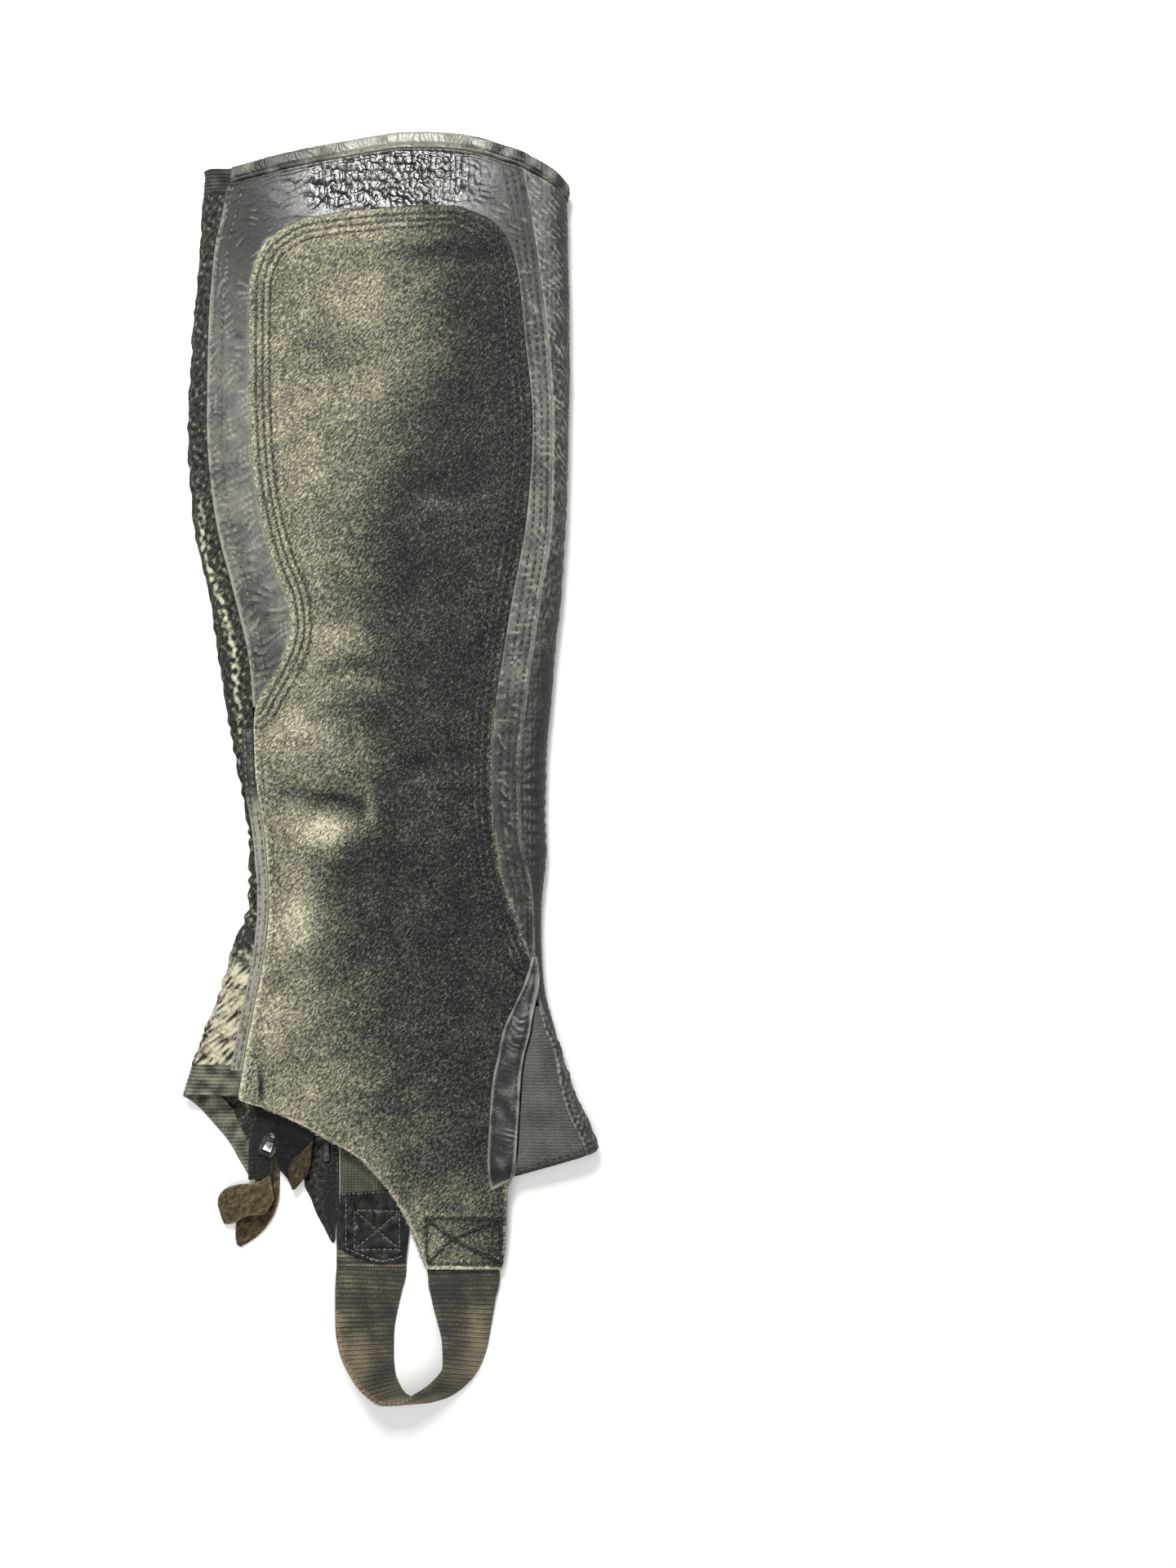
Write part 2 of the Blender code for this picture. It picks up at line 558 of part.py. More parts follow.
def front_columns():
    """Grid of the outer leather from top edge to hem, from its start to the zip."""
    top = read(TOP_ROUND, ROUND_FRONT) - BINDING_HEIGHT
    y = heights(top, ROWS, read(OUTER_HEM, ROUND_FRONT))
    return np.stack([front_girth(ROUND_FRONT, y), y], axis=-1)


def outer_leather_panel(leather):
    return panel("outer_leather_panel", front_columns(), (0, LEATHER), leather)


def top_binding(leather):
    """Leather folded over the top edge, from the back seam over the arch and round to the zip."""
    inner, outer, back_count = frame_edges()
    lower = np.concatenate([
        outer[back_count - 1:back_count + ARCH_COLUMNS],
        front_columns()[0],
    ])
    upper = lower + np.array([0, BINDING_HEIGHT])
    upper[0, 0] = section(BACK_SEAM, upper[0, 1])
    return panel("top_binding", across(lower, upper, 3), BINDING, leather)


def back_columns(y):
    """Grid round the back, from the height of each row (first index) in each column."""
    return np.stack([back_girth(ROUND_BACK, y), y], axis=-1)


def back_stretch_panel(stretch):
    """The back of the leg, from the top cuff down to the hem cuff."""
    rows = ROWS[ROWS >= -119]
    hem = read(BACK_HEM, ROUND_BACK) + HEM_CUFF_HEIGHT
    top = np.full(len(ROUND_BACK), BACK_TOP - CUFF_HEIGHT)
    return panel("back_stretch_panel", back_columns(heights(top, rows, hem)), STRETCH, stretch)


def back_top_cuff(rib):
    y = BACK_TOP - CUFF_HEIGHT * np.array([0, 0.5, 1])[:, None] + 0 * ROUND_BACK
    return panel("back_top_cuff", back_columns(y), STRETCH, rib)


def back_hem_cuff(rib):
    y = read(BACK_HEM, ROUND_BACK) + HEM_CUFF_HEIGHT * np.array([1, 0.5, 0])[:, None]
    return panel("back_hem_cuff", back_columns(y), STRETCH, rib)


def back_seam_tape(leather):
    """Narrow strip that covers the lower half of the back seam, on the stretch panel."""
    y = np.append(ROWS[(ROWS <= 20) & (ROWS >= -130)], -138.0)
    seam = girth_of(section(BACK_SEAM, y), y)
    edges = [np.stack([seam - width, y], axis=-1) for width in (SEAM_TAPE_WIDTH, 0.0)]
    return panel("back_seam_tape", across(*edges, 3), ON_TOP, leather)


def ankle_trim(leather):
    """Strip over the suede's front edge, from the end of the front seam to the tongue."""
    back = foot_rows(-85, -152, TRIM_FOOT[0])
    front = foot_rows(-85, -152, TRIM_FOOT[1])
    inner = upper_edge(x_at(TRIM_INNER, back), back)
    outer = upper_edge(x_at(ANKLE_FRONT, front), front)
    return panel("ankle_trim", across(inner, outer, 4), TRIM, leather)


def gusset_edge():
    y = foot_rows(-108, -152, GUSSET_FOOT[1])
    return upper_edge(x_at(GUSSET_OUTER, y), y)


def ankle_gusset(elastic):
    y = foot_rows(-108, -152, GUSSET_FOOT[0])
    trim = upper_edge(x_at(ANKLE_FRONT, y) + UNDER_TRIM, y)
    return panel("ankle_gusset", across(trim, gusset_edge(), 7), GUSSET, elastic)


def gusset_binding(leather):
    """Edge of the outer leather along the gusset, turned over the fold."""
    y = foot_rows(-108, -152, OUTER_HEM[0][1])
    fold = np.stack([front_start(y) - SEAM_GAP, y], axis=-1)
    return panel("gusset_binding", across(gusset_edge(), fold, 5), (-0.8, LEATHER), leather)


def stirrup_strap(elastic):
    """Ribbon ruled between its two edges, half its thickness to either side."""
    rows = np.array(STRAP)
    along = np.arange(len(rows))
    fine = np.linspace(0, len(rows) - 1, 3 * len(rows) - 2)
    rim_x, rim_y, foot_x, foot_y, foot_z, chord = (through(along, c, fine) for c in rows.T)
    flat = np.hypot(rim_x - foot_x, rim_y - foot_y)
    rim_z = foot_z + np.sqrt(np.maximum(chord ** 2 - flat ** 2, 0))
    foot = np.stack([foot_x, foot_y, foot_z], axis=-1)
    rim = np.stack([rim_x, rim_y, rim_z], axis=-1)
    middle = across(foot, rim, 5)
    square = np.cross(np.gradient(middle, axis=0), np.gradient(middle, axis=1))
    square /= np.linalg.norm(square, axis=-1, keepdims=True)
    half = STRAP_THICKNESS / 2
    middle[..., 2] += half * np.abs(square[..., 2])
    return wall("stirrup_strap", middle + half * square, middle - half * square, elastic)


def zip_tapes(tape):
    y = np.concatenate([[279.0], ROWS, [-162.0, -166.5, -171.0, -181.0, -191.0]])
    edge = zip_edge(BACK_TAPE, y)
    width = np.where(y < -160, FRONT_TAPE_WIDTH, TAPE_WIDTH)
    band("zip_tape_back", y, edge - width, edge - 0.4, TAPE, tape)
    y = np.concatenate([[282.0], ROWS, [-162.0, -172.8]])
    edge = zip_edge(FRONT_TAPE, y)
    band("zip_tape_front", y, edge + 0.4, edge + FRONT_TAPE_WIDTH, TAPE, tape)
    patch("zip_tape_front_end", FRONT_TAPE_END, TAPE[1] - TAPE[0], tape, 3)


def zip_chains(plastic):
    y = np.concatenate([[277.0], ROWS, [-162.0, -166.5]])
    edge = zip_edge(BACK_TAPE, y)
    band("zip_chain_back", y, edge, edge + TEETH_WIDTH, CHAIN, plastic)
    y = np.concatenate([[279.0], ROWS, [-162.0, -172.3]])
    edge = zip_edge(FRONT_TAPE, y)
    band("zip_chain_front", y, edge - TEETH_WIDTH, edge, CHAIN, plastic)


def zip_slider(metal):
    """Two plates on a post at the front end of the tape, and a bridge for the pull."""
    width, length = SLIDER_SIZE
    across_slider = np.array([np.cos(SLIDER_TURN), np.sin(SLIDER_TURN), 0])
    along_slider = np.array([-np.sin(SLIDER_TURN), np.cos(SLIDER_TURN), 0])
    middle = np.array([*SLIDER_AT, 0.0])
    #                 name             size                       across  along  z
    parts = (
        ("zip_slider", (width, length, 1.4), 0.0, 0.0, 0.95),
        ("upper_plate", (width, length, 1.4), 0.0, 0.0, 4.2),
        ("post", (1.6, 4.0, 2.4), 2.4, 2.6, 2.6),
        ("bridge_head", (2.6, 1.4, 1.6), 0.0, 3.6, 5.6),
        ("bridge_foot", (2.6, 1.4, 1.6), 0.0, -3.6, 5.6),
        ("bridge_bar", (2.6, 8.6, 1.0), 0.0, 0.0, 6.8),
    )
    made = []
    for name, size, aside, ahead, z in parts:
        place = middle + aside * across_slider + ahead * along_slider + np.array([0, 0, z])
        made.append(block(name, size, place, SLIDER_TURN))
    body = made[0]
    body.data.materials.append(metal)
    for other in made[1:]:
        other.hide_render = True
        other.display_type = "WIRE"
        join = body.modifiers.new("join_" + other.name, "BOOLEAN")
        join.operation = "UNION"
        join.object = other


def zip_pin(plastic):
    pin = block("zip_pin", PIN_SIZE, PIN_AT)
    pin.data.materials.append(plastic)
    edges = pin.modifiers.new("edges", "BEVEL")
    edges.width = 0.5 * MM
    edges.segments = 2


def build():
    for old in list(bpy.data.objects):
        bpy.data.objects.remove(old)
    suede = finish_material("black suede", (0.028, 0.030, 0.025), 0.95)
    leather = finish_material("black grained leather", (0.040, 0.041, 0.042), 0.45)
    stretch = finish_material("black stretch nubuck", (0.035, 0.036, 0.032), 0.8)
    rib = finish_material("rib elastic", (0.030, 0.031, 0.028), 0.9)
    gusset = finish_material("grey elastic", (0.075, 0.078, 0.072), 0.85)
    knit = finish_material("olive rib knit", (0.145, 0.150, 0.085), 0.95)
    webbing = finish_material("ribbed strap elastic", (0.110, 0.095, 0.065), 0.9)
    tape = finish_material("zip tape", (0.022, 0.022, 0.024), 0.85)
    plastic = finish_material("moulded plastic", (0.020, 0.020, 0.021), 0.4)
    metal = finish_material("worn nickel", (0.45, 0.44, 0.42), 0.35, 1.0)
    olive = finish_material("olive suede", (0.085, 0.068, 0.040), 0.95)
    suede_grip_panel(suede)
    leather_frame(leather)
    outer_leather_panel(leather)
    top_binding(leather)
    back_stretch_panel(stretch)
    back_top_cuff(rib)
    back_hem_cuff(rib)
    back_seam_tape(leather)
    ankle_trim(leather)
    ankle_gusset(gusset)
    gusset_binding(leather)
    patch("knit_insert", KNIT, LEATHER, knit)
    patch("strap_tab", TAB, 1.6, leather)
    stirrup_strap(webbing)
    zip_tapes(tape)
    zip_chains(plastic)
    zip_slider(metal)
    zip_pin(plastic)
    patch("zip_guard", GUARD, 1.0, stretch)
    patch("guard_flap", FLAP, 1.0, leather)
    patch("guard_flap_corner", FLAP_CORNER, 1.0, olive)
    patch("zip_pull_lower_leaf", LOWER_LEAF, LEAF, olive)
    patch("zip_pull_upper_leaf", UPPER_LEAF, LEAF, olive)


build()
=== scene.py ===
"""The looks of a black leather and suede half chap for a left leg, laid flat with its zip open.

Shape tables and cloth sizes are in millimetres, +Y to the knee, +X to the front of the leg, +Z up,
as in the model's frame; MM turns them into its metres. The upper side is the inside of the leg.
"""

import bpy
import numpy as np
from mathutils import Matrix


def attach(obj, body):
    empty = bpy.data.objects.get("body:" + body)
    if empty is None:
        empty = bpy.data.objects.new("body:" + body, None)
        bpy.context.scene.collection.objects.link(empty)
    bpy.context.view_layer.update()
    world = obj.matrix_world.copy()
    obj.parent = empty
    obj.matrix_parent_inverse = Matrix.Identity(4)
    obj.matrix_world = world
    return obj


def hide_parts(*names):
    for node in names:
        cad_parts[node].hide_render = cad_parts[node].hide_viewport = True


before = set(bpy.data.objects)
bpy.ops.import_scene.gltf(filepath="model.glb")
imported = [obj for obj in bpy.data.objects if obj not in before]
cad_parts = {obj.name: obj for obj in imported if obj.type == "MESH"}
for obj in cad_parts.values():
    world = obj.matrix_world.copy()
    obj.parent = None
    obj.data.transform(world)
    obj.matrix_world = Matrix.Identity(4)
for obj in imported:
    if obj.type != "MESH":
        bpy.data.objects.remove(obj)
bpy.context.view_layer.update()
MM = 0.001


# Suede grip. One piece of black suede, nap side out, from the rider's knee down to the tongue that
# holds the strap. It is sewn down on the leather with three rows of thread and left with a raw
# edge. Use has polished it dark where it grips and left dust where it folds.

# One row per section across the leg. The folds are the outermost points left and right, the seams
# are where the pieces meet on the upper side, a rise is the height of the fold, and sag is how
# far the upper side sinks between the two folds.
#    y    back_fold back_seam front_seam front_fold back_rise front_rise sag
SECTIONS = (
    (-232, -96, -70, 66, 96.5, 7, 7, 0),
    (-200, -96, -70, 66, 96.5, 9, 12, 1.5),
    (-178, -96.8, -70, 66, 96, 12, 17, 3),
    (-165, -96.8, -70, 66, 93, 13.5, 18, 4),
    (-152, -96.8, -70, 66, 86.5, 14, 18, 5),
    (-140, -94, -68.5, 66, 82, 14, 18, 5),
    (-120, -86.5, -65, 66.5, 76.5, 14, 18, 5),
    (-100, -79, -61, 67, 71.5, 13.5, 17, 5),
    (-80, -73, -57.5, 66.5, 69.5, 13, 16.5, 4.5),
    (-60, -66.5, -56, 66, 70.5, 12.5, 16.5, 4),
    (-30, -66.5, -58, 60.5, 72, 12.5, 17, 3.5),
    (0, -71.5, -62.5, 59.5, 72, 12.5, 17.5, 3.5),
    (30, -77, -63.5, 62.5, 74.5, 13, 18.5, 4.5),
    (50, -80, -65, 65, 76, 13.5, 19.5, 5.5),
    (80, -84.5, -71.5, 69.5, 79, 14, 21, 6.5),
    (120, -92.5, -81, 75, 81.5, 14.5, 22, 7),
    (160, -94.5, -84.5, 75.5, 82.5, 14.5, 22, 7),
    (200, -92.5, -84, 73, 83, 14, 22, 6.5),
    (240, -89.5, -81.5, 68, 82.5, 13, 21, 5),
    (260, -88.5, -77.5, 65, 82, 12.5, 20, 4),
    (280, -87, -73.5, 61.5, 81.5, 12, 19, 3.5),
    (300, -87, -73.5, 61.5, 81.5, 12, 19, 3.5),
)
BACK_FOLD, BACK_SEAM, FRONT_SEAM, FRONT_FOLD, BACK_RISE, FRONT_RISE, SAG = range(1, 8)

# The deep creases across the ankle and below the calf: from one end to the other, how deep (a
# ridge is negative) and how wide.
#    x0   y0    x1   y1  depth width
CREASES = (
    (-46, -9, -12, -17, 2.4, 4),
    (-10, -14, 38, -1, -1.2, 6),
    (-6, -4, 30, 8, 0.9, 5),
    (-20, 76, 6, 82, 0.6, 5),
)
# The finer ones, which only the suede's face has.
SUEDE_CREASES = (
    (-56, 62, -30, 57, 0.35, 2.5), (-40, 44, -8, 36, 0.45, 3), (-58, 30, -36, 24, 0.4, 2.5),
    (-22, 88, 20, 78, 0.3, 3), (8, 128, 34, 121, -0.35, 2.5), (14, 134, 40, 129, 0.3, 2.5),
    (-30, 66, 2, 58, -0.35, 3.5), (6, 52, 38, 58, 0.3, 3), (-52, -2, -34, 2, 0.5, 2.5),
    (-52, -22, -30, -26, -0.5, 3), (20, -8, 46, -12, 0.45, 2.5), (-6, -26, 22, -34, -0.4, 4),
    (-40, -40, -12, -48, 0.35, 4), (10, -52, 40, -64, 0.3, 4), (-52, -96, -34, -120, 0.3, 4),
    (-14, -142, 12, -150, -0.3, 4), (-26, 28, -2, 20, 0.55, 3), (-50, 14, -24, 10, 0.4, 3),
    (4, 20, 34, 26, -0.5, 4), (-6, 8, 20, 2, 0.5, 2.5), (-44, 232, -8, 240, 0.35, 3.5),
    (4, 243, 40, 238, 0.3, 3), (-60, -142, -59.4, -150, 0.9, 0.9),
    (-44, -9, -14, -16, 0.7, 2), (-42, -19, -16, -25, -0.8, 3.2), (-10, -11, -9, -24, -0.9, 2.4),
)

# The grip's edge on the leather: up the back side, up the front side, and the arch between.
GRIP_BACK = (
    (-62.2, 30), (-57.5, 39), (-52, 48), (-48.2, 57), (-46, 67), (-47.5, 80), (-54, 97),
    (-60, 120), (-63.5, 142), (-64.5, 160), (-65.2, 180), (-65.2, 200), (-65, 226),
    (-62.5, 236), (-58.5, 244.5), (-51, 251), (-40.5, 256.5),
)
GRIP_FRONT = (
    (65, -85), (60.5, -73), (56, -60), (51.5, -45), (49, -30), (47.8, -14), (47.5, 0),
    (48, 15), (49, 30), (52, 50), (57, 80), (64, 120), (66.5, 160), (62.7, 200),
    (60, 226), (58.2, 235), (56, 242), (52.5, 248.5), (47, 254),
)
GRIP_ARCH = ((-40.5, 256.5), (-20, 259.8), (8, 261.6), (30, 261), (47.0, 254))
# Below the grip: the curved hem down to the tongue, and the suede's front edge under the trim.
SUEDE_HEM = (
    (-70, -151), (-58.5, -155.5), (-48.5, -160), (-37.5, -165.5), (-29.5, -170.5),
    (-21, -175), (-13.5, -180), (-8, -186), (-2, -193), (3, -201), (7.3, -209), (10.4, -216),
    (13.4, -224), (16.5, -232),
)
ANKLE_FRONT = (
    (67, -85), (68, -91), (68, -97), (66.8, -108), (65.5, -119), (62.3, -132),
    (60.6, -146), (60.2, -157), (59.2, -169), (58.4, -183), (56.8, -188), (54.5, -195),
    (54, -210), (53.4, -220), (52, -232),
)

# Rows of the pieces' coarse grids between knee and ankle, and the shares of the way to the top
# and to the hem at which more rows come.
ROWS = np.array([
    200, 186, 173, 160, 147, 134, 120, 107, 94, 80, 67, 57, 48, 39, 30, 20, 10, 0, -10, -20, -30,
    -40, -50, -60, -68, -76, -85, -97, -108, -119, -130, -141, -152,
], float)
ABOVE = np.array([1.0, 0.8, 0.58, 0.36, 0.17])
BELOW = np.array([0.34, 0.67, 1.0])
CORNER_BACK = np.array([251, 244.5, 236, 226, 213])
CORNER_FRONT = np.array([248.5, 242, 235, 226, 213])
ARCH_COLUMNS = 11

# Heights where the pieces' edges meet: the grip with the back seam, the frame's front foot with
# the trim, the gusset's top, and the lowest of the rows.
GRIP_FOOT = 30
FRAME_FOOT = -85
GUSSET_TOP = -108
LAST_ROW = -152

LEATHER = 1.8           # thickness of leather and suede
SUEDE_PROUD = 0.8       # the suede stands this far above the leather
GRIP_ROWS_IN = (3.4, 6.5, 9.6)      # the rows of thread, from the grip's edge inwards
# The tongue's box and cross, which hold the strap.
TONGUE_BOX = ((16.9, -229.3), (16.5, -207.3), (51.0, -208), (51.5, -229.6), (16.9, -229.3))
TONGUE_CROSS = (
    ((17.5, -208.5), (28.7, -217.5), (50.5, -228.8)),
    ((17.8, -228.6), (28.7, -217.5), (50.2, -209)),
)


def through(knots, values, at):
    """Cubic through the table's rows that never swings past them (Fritsch-Carlson slopes)."""
    knots = np.asarray(knots, float)
    values = np.asarray(values, float)
    step = np.diff(knots)
    rise = np.diff(values) / step
    both = rise[1:] + rise[:-1]
    same = rise[1:] * rise[:-1] > 0
    slope = np.concatenate([rise[:1], np.zeros(len(both)), rise[-1:]])
    slope[1:-1][same] = 2 * rise[1:][same] * rise[:-1][same] / both[same]
    i = np.clip(np.searchsorted(knots, at, side="right") - 1, 0, len(step) - 1)
    t = ramp(at - knots[i], step[i])
    return (
        values[i] * (1 + 2 * t) * (1 - t) ** 2
        + slope[i] * step[i] * t * (1 - t) ** 2
        + values[i + 1] * t * t * (3 - 2 * t)
        + slope[i + 1] * step[i] * t * t * (t - 1)
    )


def read(table, at, key=0, value=1):
    """The value column of a table, where its key column is at; its rows may come in any order."""
    rows = np.array(sorted(table, key=lambda row: row[key]), float)
    return through(rows[:, key], rows[:, value], at)


def section(column, y):
    """A column of SECTIONS at height y."""
    return read(SECTIONS, y, 0, column)


def x_at(edge, y):
    """x of an edge table of (x, y) rows, at height y."""
    return read(edge, y, 1, 0)


def folds(y):
    """Radius and inner end of the back fold and of the front fold at height y."""
    back = section(BACK_RISE, y) / 2
    front = section(FRONT_RISE, y) / 2
    return back, section(BACK_FOLD, y) + back, front, section(FRONT_FOLD, y) - front


def bell(off, width, power=2):
    """1 where off is nought, falling to 0 beyond a width; a power of 4 flattens its top."""
    return np.exp(-(off / width) ** power)


def ramp(past, width):
    """0 before a place and 1 past it by a width or more, with an even rise between."""
    return np.clip(past / width, 0, 1)


def crease(x, y, table):
    """Depth of a table's creases: a soft bell across each line, fading out past its two ends."""
    total = np.zeros_like(x)
    for x0, y0, x1, y1, depth, width in table:
        length = np.hypot(x1 - x0, y1 - y0)
        along = ((x - x0) * (x1 - x0) + (y - y0) * (y1 - y0)) / length
        across = ((x - x0) * (y1 - y0) - (y - y0) * (x1 - x0)) / length
        past = np.maximum(np.abs(along - length / 2) - length / 2, 0)
        total += depth * bell(across, width) * bell(past, 7)
    return total


def skin(u, y, depth):
    """Point at girth u and height y, at a depth below the outer face.

    The leg is a flattened tube. On the upper side u is x, and the height goes from one fold's rise
    to the other's with a sag and the deep creases. Past a fold's inner end u runs on round the
    fold and back along the underside. Nothing goes below the surface that the chap lies on.
    """
    u, y = np.broadcast_arrays(np.asarray(u, float), np.asarray(y, float))
    back, x1, front, x2 = folds(y)
    turn_front = np.clip((u - x2) / front, 0, np.pi)
    turn_back = np.clip((x1 - u) / back, 0, np.pi)
    under_front = np.maximum(u - x2 - np.pi * front, 0)
    under_back = np.maximum(x1 - np.pi * back - u, 0)
    x = np.where(u > x2, x2 + (front - depth) * np.sin(turn_front) - under_front, u)
    x = np.where(u < x1, x1 - (back - depth) * np.sin(turn_back) + under_back, x)
    upper = np.clip(u, x1, x2)
    s = (upper - x1) / (x2 - x1)
    level = 2 * back + (2 * front - 2 * back) * s * s * (3 - 2 * s)
    middle = np.sin(np.pi * s) ** 2
    folded = crease(upper, y, CREASES) * np.minimum(1, 3 * middle)
    z = level - section(SAG, y) * middle - folded - depth
    z = np.where(u > x2, front + (front - depth) * np.cos(turn_front), z)
    z = np.where(u < x1, back + (back - depth) * np.cos(turn_back), z)
    return np.stack([x, y, np.maximum(z, 0)], axis=-1)


def girth_of(x, y):
    """Girth u of the point of the upper side that is seen at x from above."""
    back, x1, front, x2 = folds(y)
    round_front = x2 + front * np.arcsin(ramp(x - x2, front))
    round_back = x1 - back * np.arcsin(ramp(x1 - x, back))
    return np.where(x > x2, round_front, np.where(x < x1, round_back, x))


def paired(u, y):
    """Points (u, y)."""
    return np.stack(np.broadcast_arrays(u, y), axis=-1)


def upper_edge(x, y):
    """Points (u, y) of an edge given by x on the upper side."""
    return paired(girth_of(x, y), y)


def edge_at(edge, y):
    """Points (u, y) of an edge table of the upper side, at heights y."""
    return upper_edge(x_at(edge, y), y)


def seam_at(column, y):
    """Points (u, y) of a column of SECTIONS, at heights y."""
    return upper_edge(section(column, y), y)


def run_of(points):
    """Distance run along a line of points."""
    return np.append(0, np.cumsum(np.linalg.norm(np.diff(points, axis=0), axis=-1)))


def spread(edge, count):
    """count points evenly along a line of points, joined by a smooth curve."""
    edge = np.array(edge, float)
    run = run_of(edge)
    at = np.linspace(0, run[-1], count)
    return np.stack([through(run, column, at) for column in edge.T], axis=1)


def across(left, right, count):
    """Grid of rows from one edge's points to the other's, count columns each."""
    share = np.linspace(0, 1, count)[None, :, None]
    return left[:, None, :] * (1 - share) + right[:, None, :] * share


def denser(grid, count):
    """Lines along the grid's first axis, on smooth curves through it: count evenly spaced ones, or
    one at each given share of the way."""
    steps = np.linalg.norm(np.diff(grid, axis=0), axis=-1)
    run = np.append(0, np.cumsum(steps.reshape(len(steps), -1).mean(axis=1)))
    share = np.linspace(0, 1, count) if np.ndim(count) == 0 else count
    curves = grid.reshape(len(grid), -1).T
    made = np.stack([through(run, curve, share * run[-1]) for curve in curves], axis=-1)
    return made.reshape(len(share), *grid.shape[1:])


def fine(grid, rows, columns):
    """Fine grid of rows by columns through a coarse one, each a count or shares of the way."""
    return np.swapaxes(denser(np.swapaxes(denser(grid, rows), 0, 1), columns), 0, 1)


def shares(places, counts):
    """Shares of the way, from each of the places to the next in so many even steps."""
    spans = zip(places[:-1], places[1:], counts)
    return np.concatenate([[places[0]]] + [np.linspace(*span)[1:] for span in spans])


def near_edges(grid):
    """The grid with two more lines close to each of its edges, where the cloth rounds over."""
    for axis in (0, 1):
        lines = np.swapaxes(grid, 0, axis)
        first = [lines[0] + share * (lines[1] - lines[0]) for share in (0.2, 0.5)]
        last = [lines[-1] + share * (lines[-2] - lines[-1]) for share in (0.5, 0.2)]
        lines = np.concatenate([lines[:1], first, lines[1:-1], last, lines[-1:]])
        grid = np.swapaxes(lines, 0, axis)
    return grid


def from_edges(grid):
    """Distance of each grid point from its sheet's nearest edge, along its row or column."""
    nearest = np.full(grid.shape[:2], np.inf)
    for axis in (0, 1):
        steps = np.linalg.norm(np.diff(grid, axis=axis), axis=-1)
        start = np.zeros_like(np.take(steps, [0], axis=axis))
        run = np.concatenate([start, np.cumsum(steps, axis=axis)], axis=axis)
        nearest = np.minimum(nearest, np.minimum(run, np.take(run, [-1], axis=axis) - run))
    return nearest


def round_off(distance, radius):
    """Fall of a rounded edge: a quarter circle within a radius of the edge."""
    inside = np.clip(1 - distance / radius, 0, 1)
    return radius * (1 - np.sqrt(1 - inside ** 2))


def mesh_of(name, points, faces, material, uv=None, marks=None, sharp=50):
    """A mesh object from points in millimetres and a list of face arrays, its faces turned
    outwards if the volume they enclose comes out negative. uv holds metres on the cloth, and
    marks holds named values for the material."""
    points = np.asarray(points, float).reshape(-1, 3)
    fans = [f[:, [0, i, i + 1]] for f in faces for i in range(1, f.shape[1] - 1)]
    a, b, c = (points[corner] for corner in np.concatenate(fans).T)
    if np.einsum("ij,ij->i", a, np.cross(b, c)).sum() < 0:
        faces = [f[:, ::-1] for f in faces]
    corners = np.concatenate([f.ravel() for f in faces])
    sizes = np.concatenate([np.full(len(f), f.shape[1]) for f in faces])
    mesh = bpy.data.meshes.new(name)
    mesh.vertices.add(len(points))
    mesh.vertices.foreach_set("co", (points * MM).astype(np.float32).ravel())
    mesh.loops.add(len(corners))
    mesh.loops.foreach_set("vertex_index", corners.astype(np.int32))
    mesh.polygons.add(len(sizes))
    mesh.polygons.foreach_set("loop_start", (np.cumsum(sizes) - sizes).astype(np.int32))
    mesh.update(calc_edges=True)
    if uv is not None:
        layer = mesh.uv_layers.new(name="cloth")
        layer.data.foreach_set("uv", np.asarray(uv)[corners].astype(np.float32).ravel())
    for mark, values in (marks or {}).items():
        attribute = mesh.attributes.new(mark, "FLOAT", "POINT")
        attribute.data.foreach_set("value", np.asarray(values, np.float32).ravel())
    mesh.shade_smooth()
    mesh.set_sharp_from_angle(angle=np.radians(sharp))
    mesh.materials.append(material)
    made = bpy.data.objects.new(name, mesh)
    bpy.context.collection.objects.link(made)
    return made


def shell(name, outer, inner_of, uv, material, marks, step):
    """Closed sheet of cloth: a fine outer face, an inner face on every step-th line of its grid,
    and a rim of triangles between the two. inner_of gives the inner points of those lines."""
    rows, columns = outer.shape[:2]
    pick_rows = np.unique(np.append(np.arange(0, rows, step), rows - 1))
    pick_columns = np.unique(np.append(np.arange(0, columns, step), columns - 1))
    inner = inner_of(pick_rows, pick_columns)
    index = np.arange(rows * columns).reshape(rows, columns)
    under = rows * columns + np.arange(inner.shape[0] * inner.shape[1]).reshape(inner.shape[:2])

    def quads(grid):
        """The four corners of each of a grid's cells."""
        return np.stack([grid[:-1, :-1], grid[:-1, 1:], grid[1:, 1:], grid[1:, :-1]], axis=-1)

    def border(grid):
        """A grid's outer points, in their order round it."""
        return np.concatenate([grid[0], grid[1:, -1], grid[-1, -2::-1], grid[-2:0:-1, 0]])

    loop = border(index)
    coarse = border(under)
    picked = border(index[np.ix_(pick_rows, pick_columns)])
    shared = np.flatnonzero(np.isin(loop, picked))
    place = np.searchsorted(shared, np.arange(len(loop)), "right") - 1
    rim = np.stack([np.roll(loop, -1), loop, coarse[place]], axis=-1)
    ends = np.stack([np.roll(picked, -1), coarse, np.roll(coarse, -1)], axis=-1)
    faces = [
        quads(index).reshape(-1, 4),
        quads(under).reshape(-1, 4)[:, ::-1],
        np.concatenate([rim, ends]),
    ]
    points = np.concatenate([outer.reshape(-1, 3), inner.reshape(-1, 3)])
    lines = np.ix_(pick_rows, pick_columns)
    uv = np.concatenate([uv.reshape(-1, 2), uv[lines].reshape(-1, 2)]) * MM
    both = {
        mark: np.concatenate([values.ravel(), values[lines].ravel()])
        for mark, values in marks.items()
    }
    return mesh_of(name, points, faces, material, uv, both)


